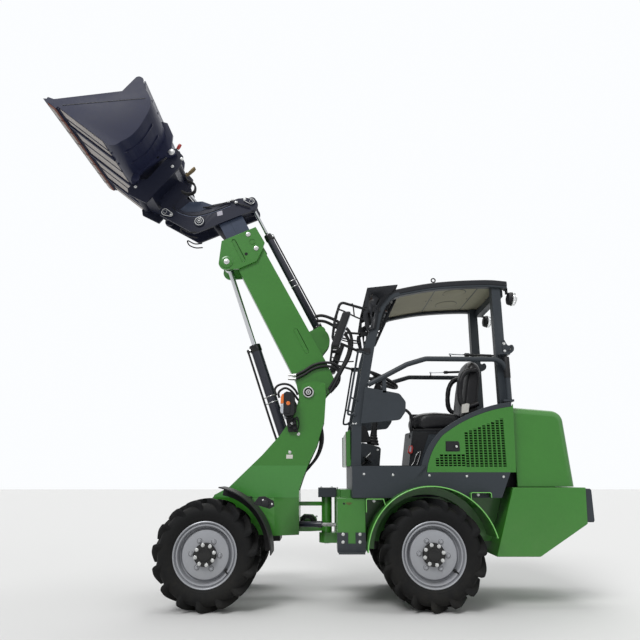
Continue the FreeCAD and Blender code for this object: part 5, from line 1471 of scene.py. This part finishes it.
def bucket_details():
    """The worn cutting edge, the pale floor plates and their ribs, the side seams and back ribs."""
    body = BODY_OF["bucket"]
    strip, pale, lines = Build(), Build(), Build()
    width = 1.5
    count = 8
    for k in range(count):
        low = -width / 2 + width * k / count + 0.004
        high = low + width / count - 0.008
        strip.prism(flat(bucket_point, [(586, -23), (596, -34), (668, -34), (684, -23)]), low, high)
        pale.prism(flat(bucket_point, [(604, -34), (612, -40), (654, -40), (662, -34)]), low +
            0.012, high - 0.012)
    for spans in ((-0.738, -0.508), (-0.452, -0.028), (0.028, 0.452), (0.508, 0.738)):
        pale.prism(flat(bucket_point, [(66, -0.5), (66, -4), (560, -4), (560, -0.5)]), *spans)
    for y in (-0.605, -0.24, 0.24, 0.605):
        lines.prism(flat(bucket_point, [(60, -3), (60, -9), (576, -9), (576, -3)]), y - 0.008, y +
            0.008)
    lines.prism(flat(bucket_point, [(566, -3), (566, -10), (584, -10), (584, -3)]), -0.745, 0.745)
    strip.done("edge_teeth", RUST, body, bevel=0.002, smooth=False)
    pale.done("floor_plates", STONE, body, smooth=False)
    lines.done("floor_ribs", BUCKET, body, smooth=False)
    band = Build()
    path = [at(2233, 0.7506, 3965), at(1536, 0.7506, 4033)]
    band.sweep(path, 0.0028, 6)
    band.done("side_seams", GLOSS, body, twin=True)
    ribs = Build()
    for y in (-0.6, -0.42, 0.42, 0.6):
        ribs.prism(flat(bucket_point, [(30, -2), (-62, 88), (-96, 230), (-64, 402), (106, 588),
            (98, 596), (-74, 408), (-108, 230), (-72, 84), (24, -14)]), y - 0.006, y + 0.006)
    for u, v in ((-178, 416), (-92, 20)):
        for side in (1, -1):
            ribs.lathe([(0.038, 0), (0.038, 0.005), (0.033, 0.007)],
                bucket_point(u, v, side * EAR_FACE), (0, side, 0), 32)
    ribs.done("back_ribs", BUCKET, body, bevel=0.001)
    plugs = Build()
    for side in (1, -1):
        plugs.lathe([(0.009, 0), (0.009, 0.003)], bucket_point(-110, 300, side * EAR_FACE),
            (0, side, 0), 18)
    plugs.done("rib_plugs", GLOSS, body)


bucket_details()


# Hood trim

def hood_trim():
    """The vents, handle and tail lamps on the hood's rear face."""
    body = BODY_OF["hood"]
    vents, lamps_red, frame_part = Build(), Build(), Build()
    for k in range(9):
        z = 1.02 + 0.028 * k
        x = row(-1904 + (z * 1000 - 856) * 42 / 576) - 0.0006
        vents.block((x - 0.003, -0.24, z), (x + 0.004, 0.24, z + 0.012))
    vents.done("hood_vents", GLOSS, body, bevel=0.001)
    z = 0.93
    x = row(-1904 + (z * 1000 - 856) * 42 / 576)
    for y in (-0.3, 0.3):
        frame_part.block((x - 0.006, y - 0.055, z - 0.03), (x + 0.004, y + 0.055, z + 0.03))
        lamps_red.block((x - 0.014, y - 0.045, z - 0.02), (x - 0.005, y + 0.045, z + 0.02))
    frame_part.bar([(x, -0.06, 1.34), (x - 0.022, -0.05, 1.34), (x - 0.022, 0.05, 1.34),
        (x, 0.06, 1.34)], 6, 0.007, 10)
    frame_part.done("tail_lamp_frames", BLACK, body, bevel=0.002)
    lamps_red.done("tail_lamps", RED_LENS, body, bevel=0.003)


hood_trim()

# Solids shown with their own edges; those that aren't named here are chromed rods.
PLAIN = {
    "steering_ram_rod": ZINC, "steering_pin": ZINC, "arm_pin": ZINC, "battery_block": BLACK,
    "mirror_arms": BLACK, "front_axle": BLACK, "rear_axle": BLACK, "lift_ram_barrel": BARREL,
    "tilt_ram_barrel": BARREL, "telescope_ram_barrel": BARREL, "steering_ram_barrel": BARREL,
    "rail_strut_left_barrel": GLOSS, "rail_strut_right_barrel": GLOSS,
}
for node, item in frame["nodes"].items():
    if not item.hide_render:
        bevelled(node, PLAIN.get(node, CHROME), BODY_OF[node], 0)

for item in frame["nodes"].values():
    item.data.materials.clear()
    item.data.materials.append(GREY)
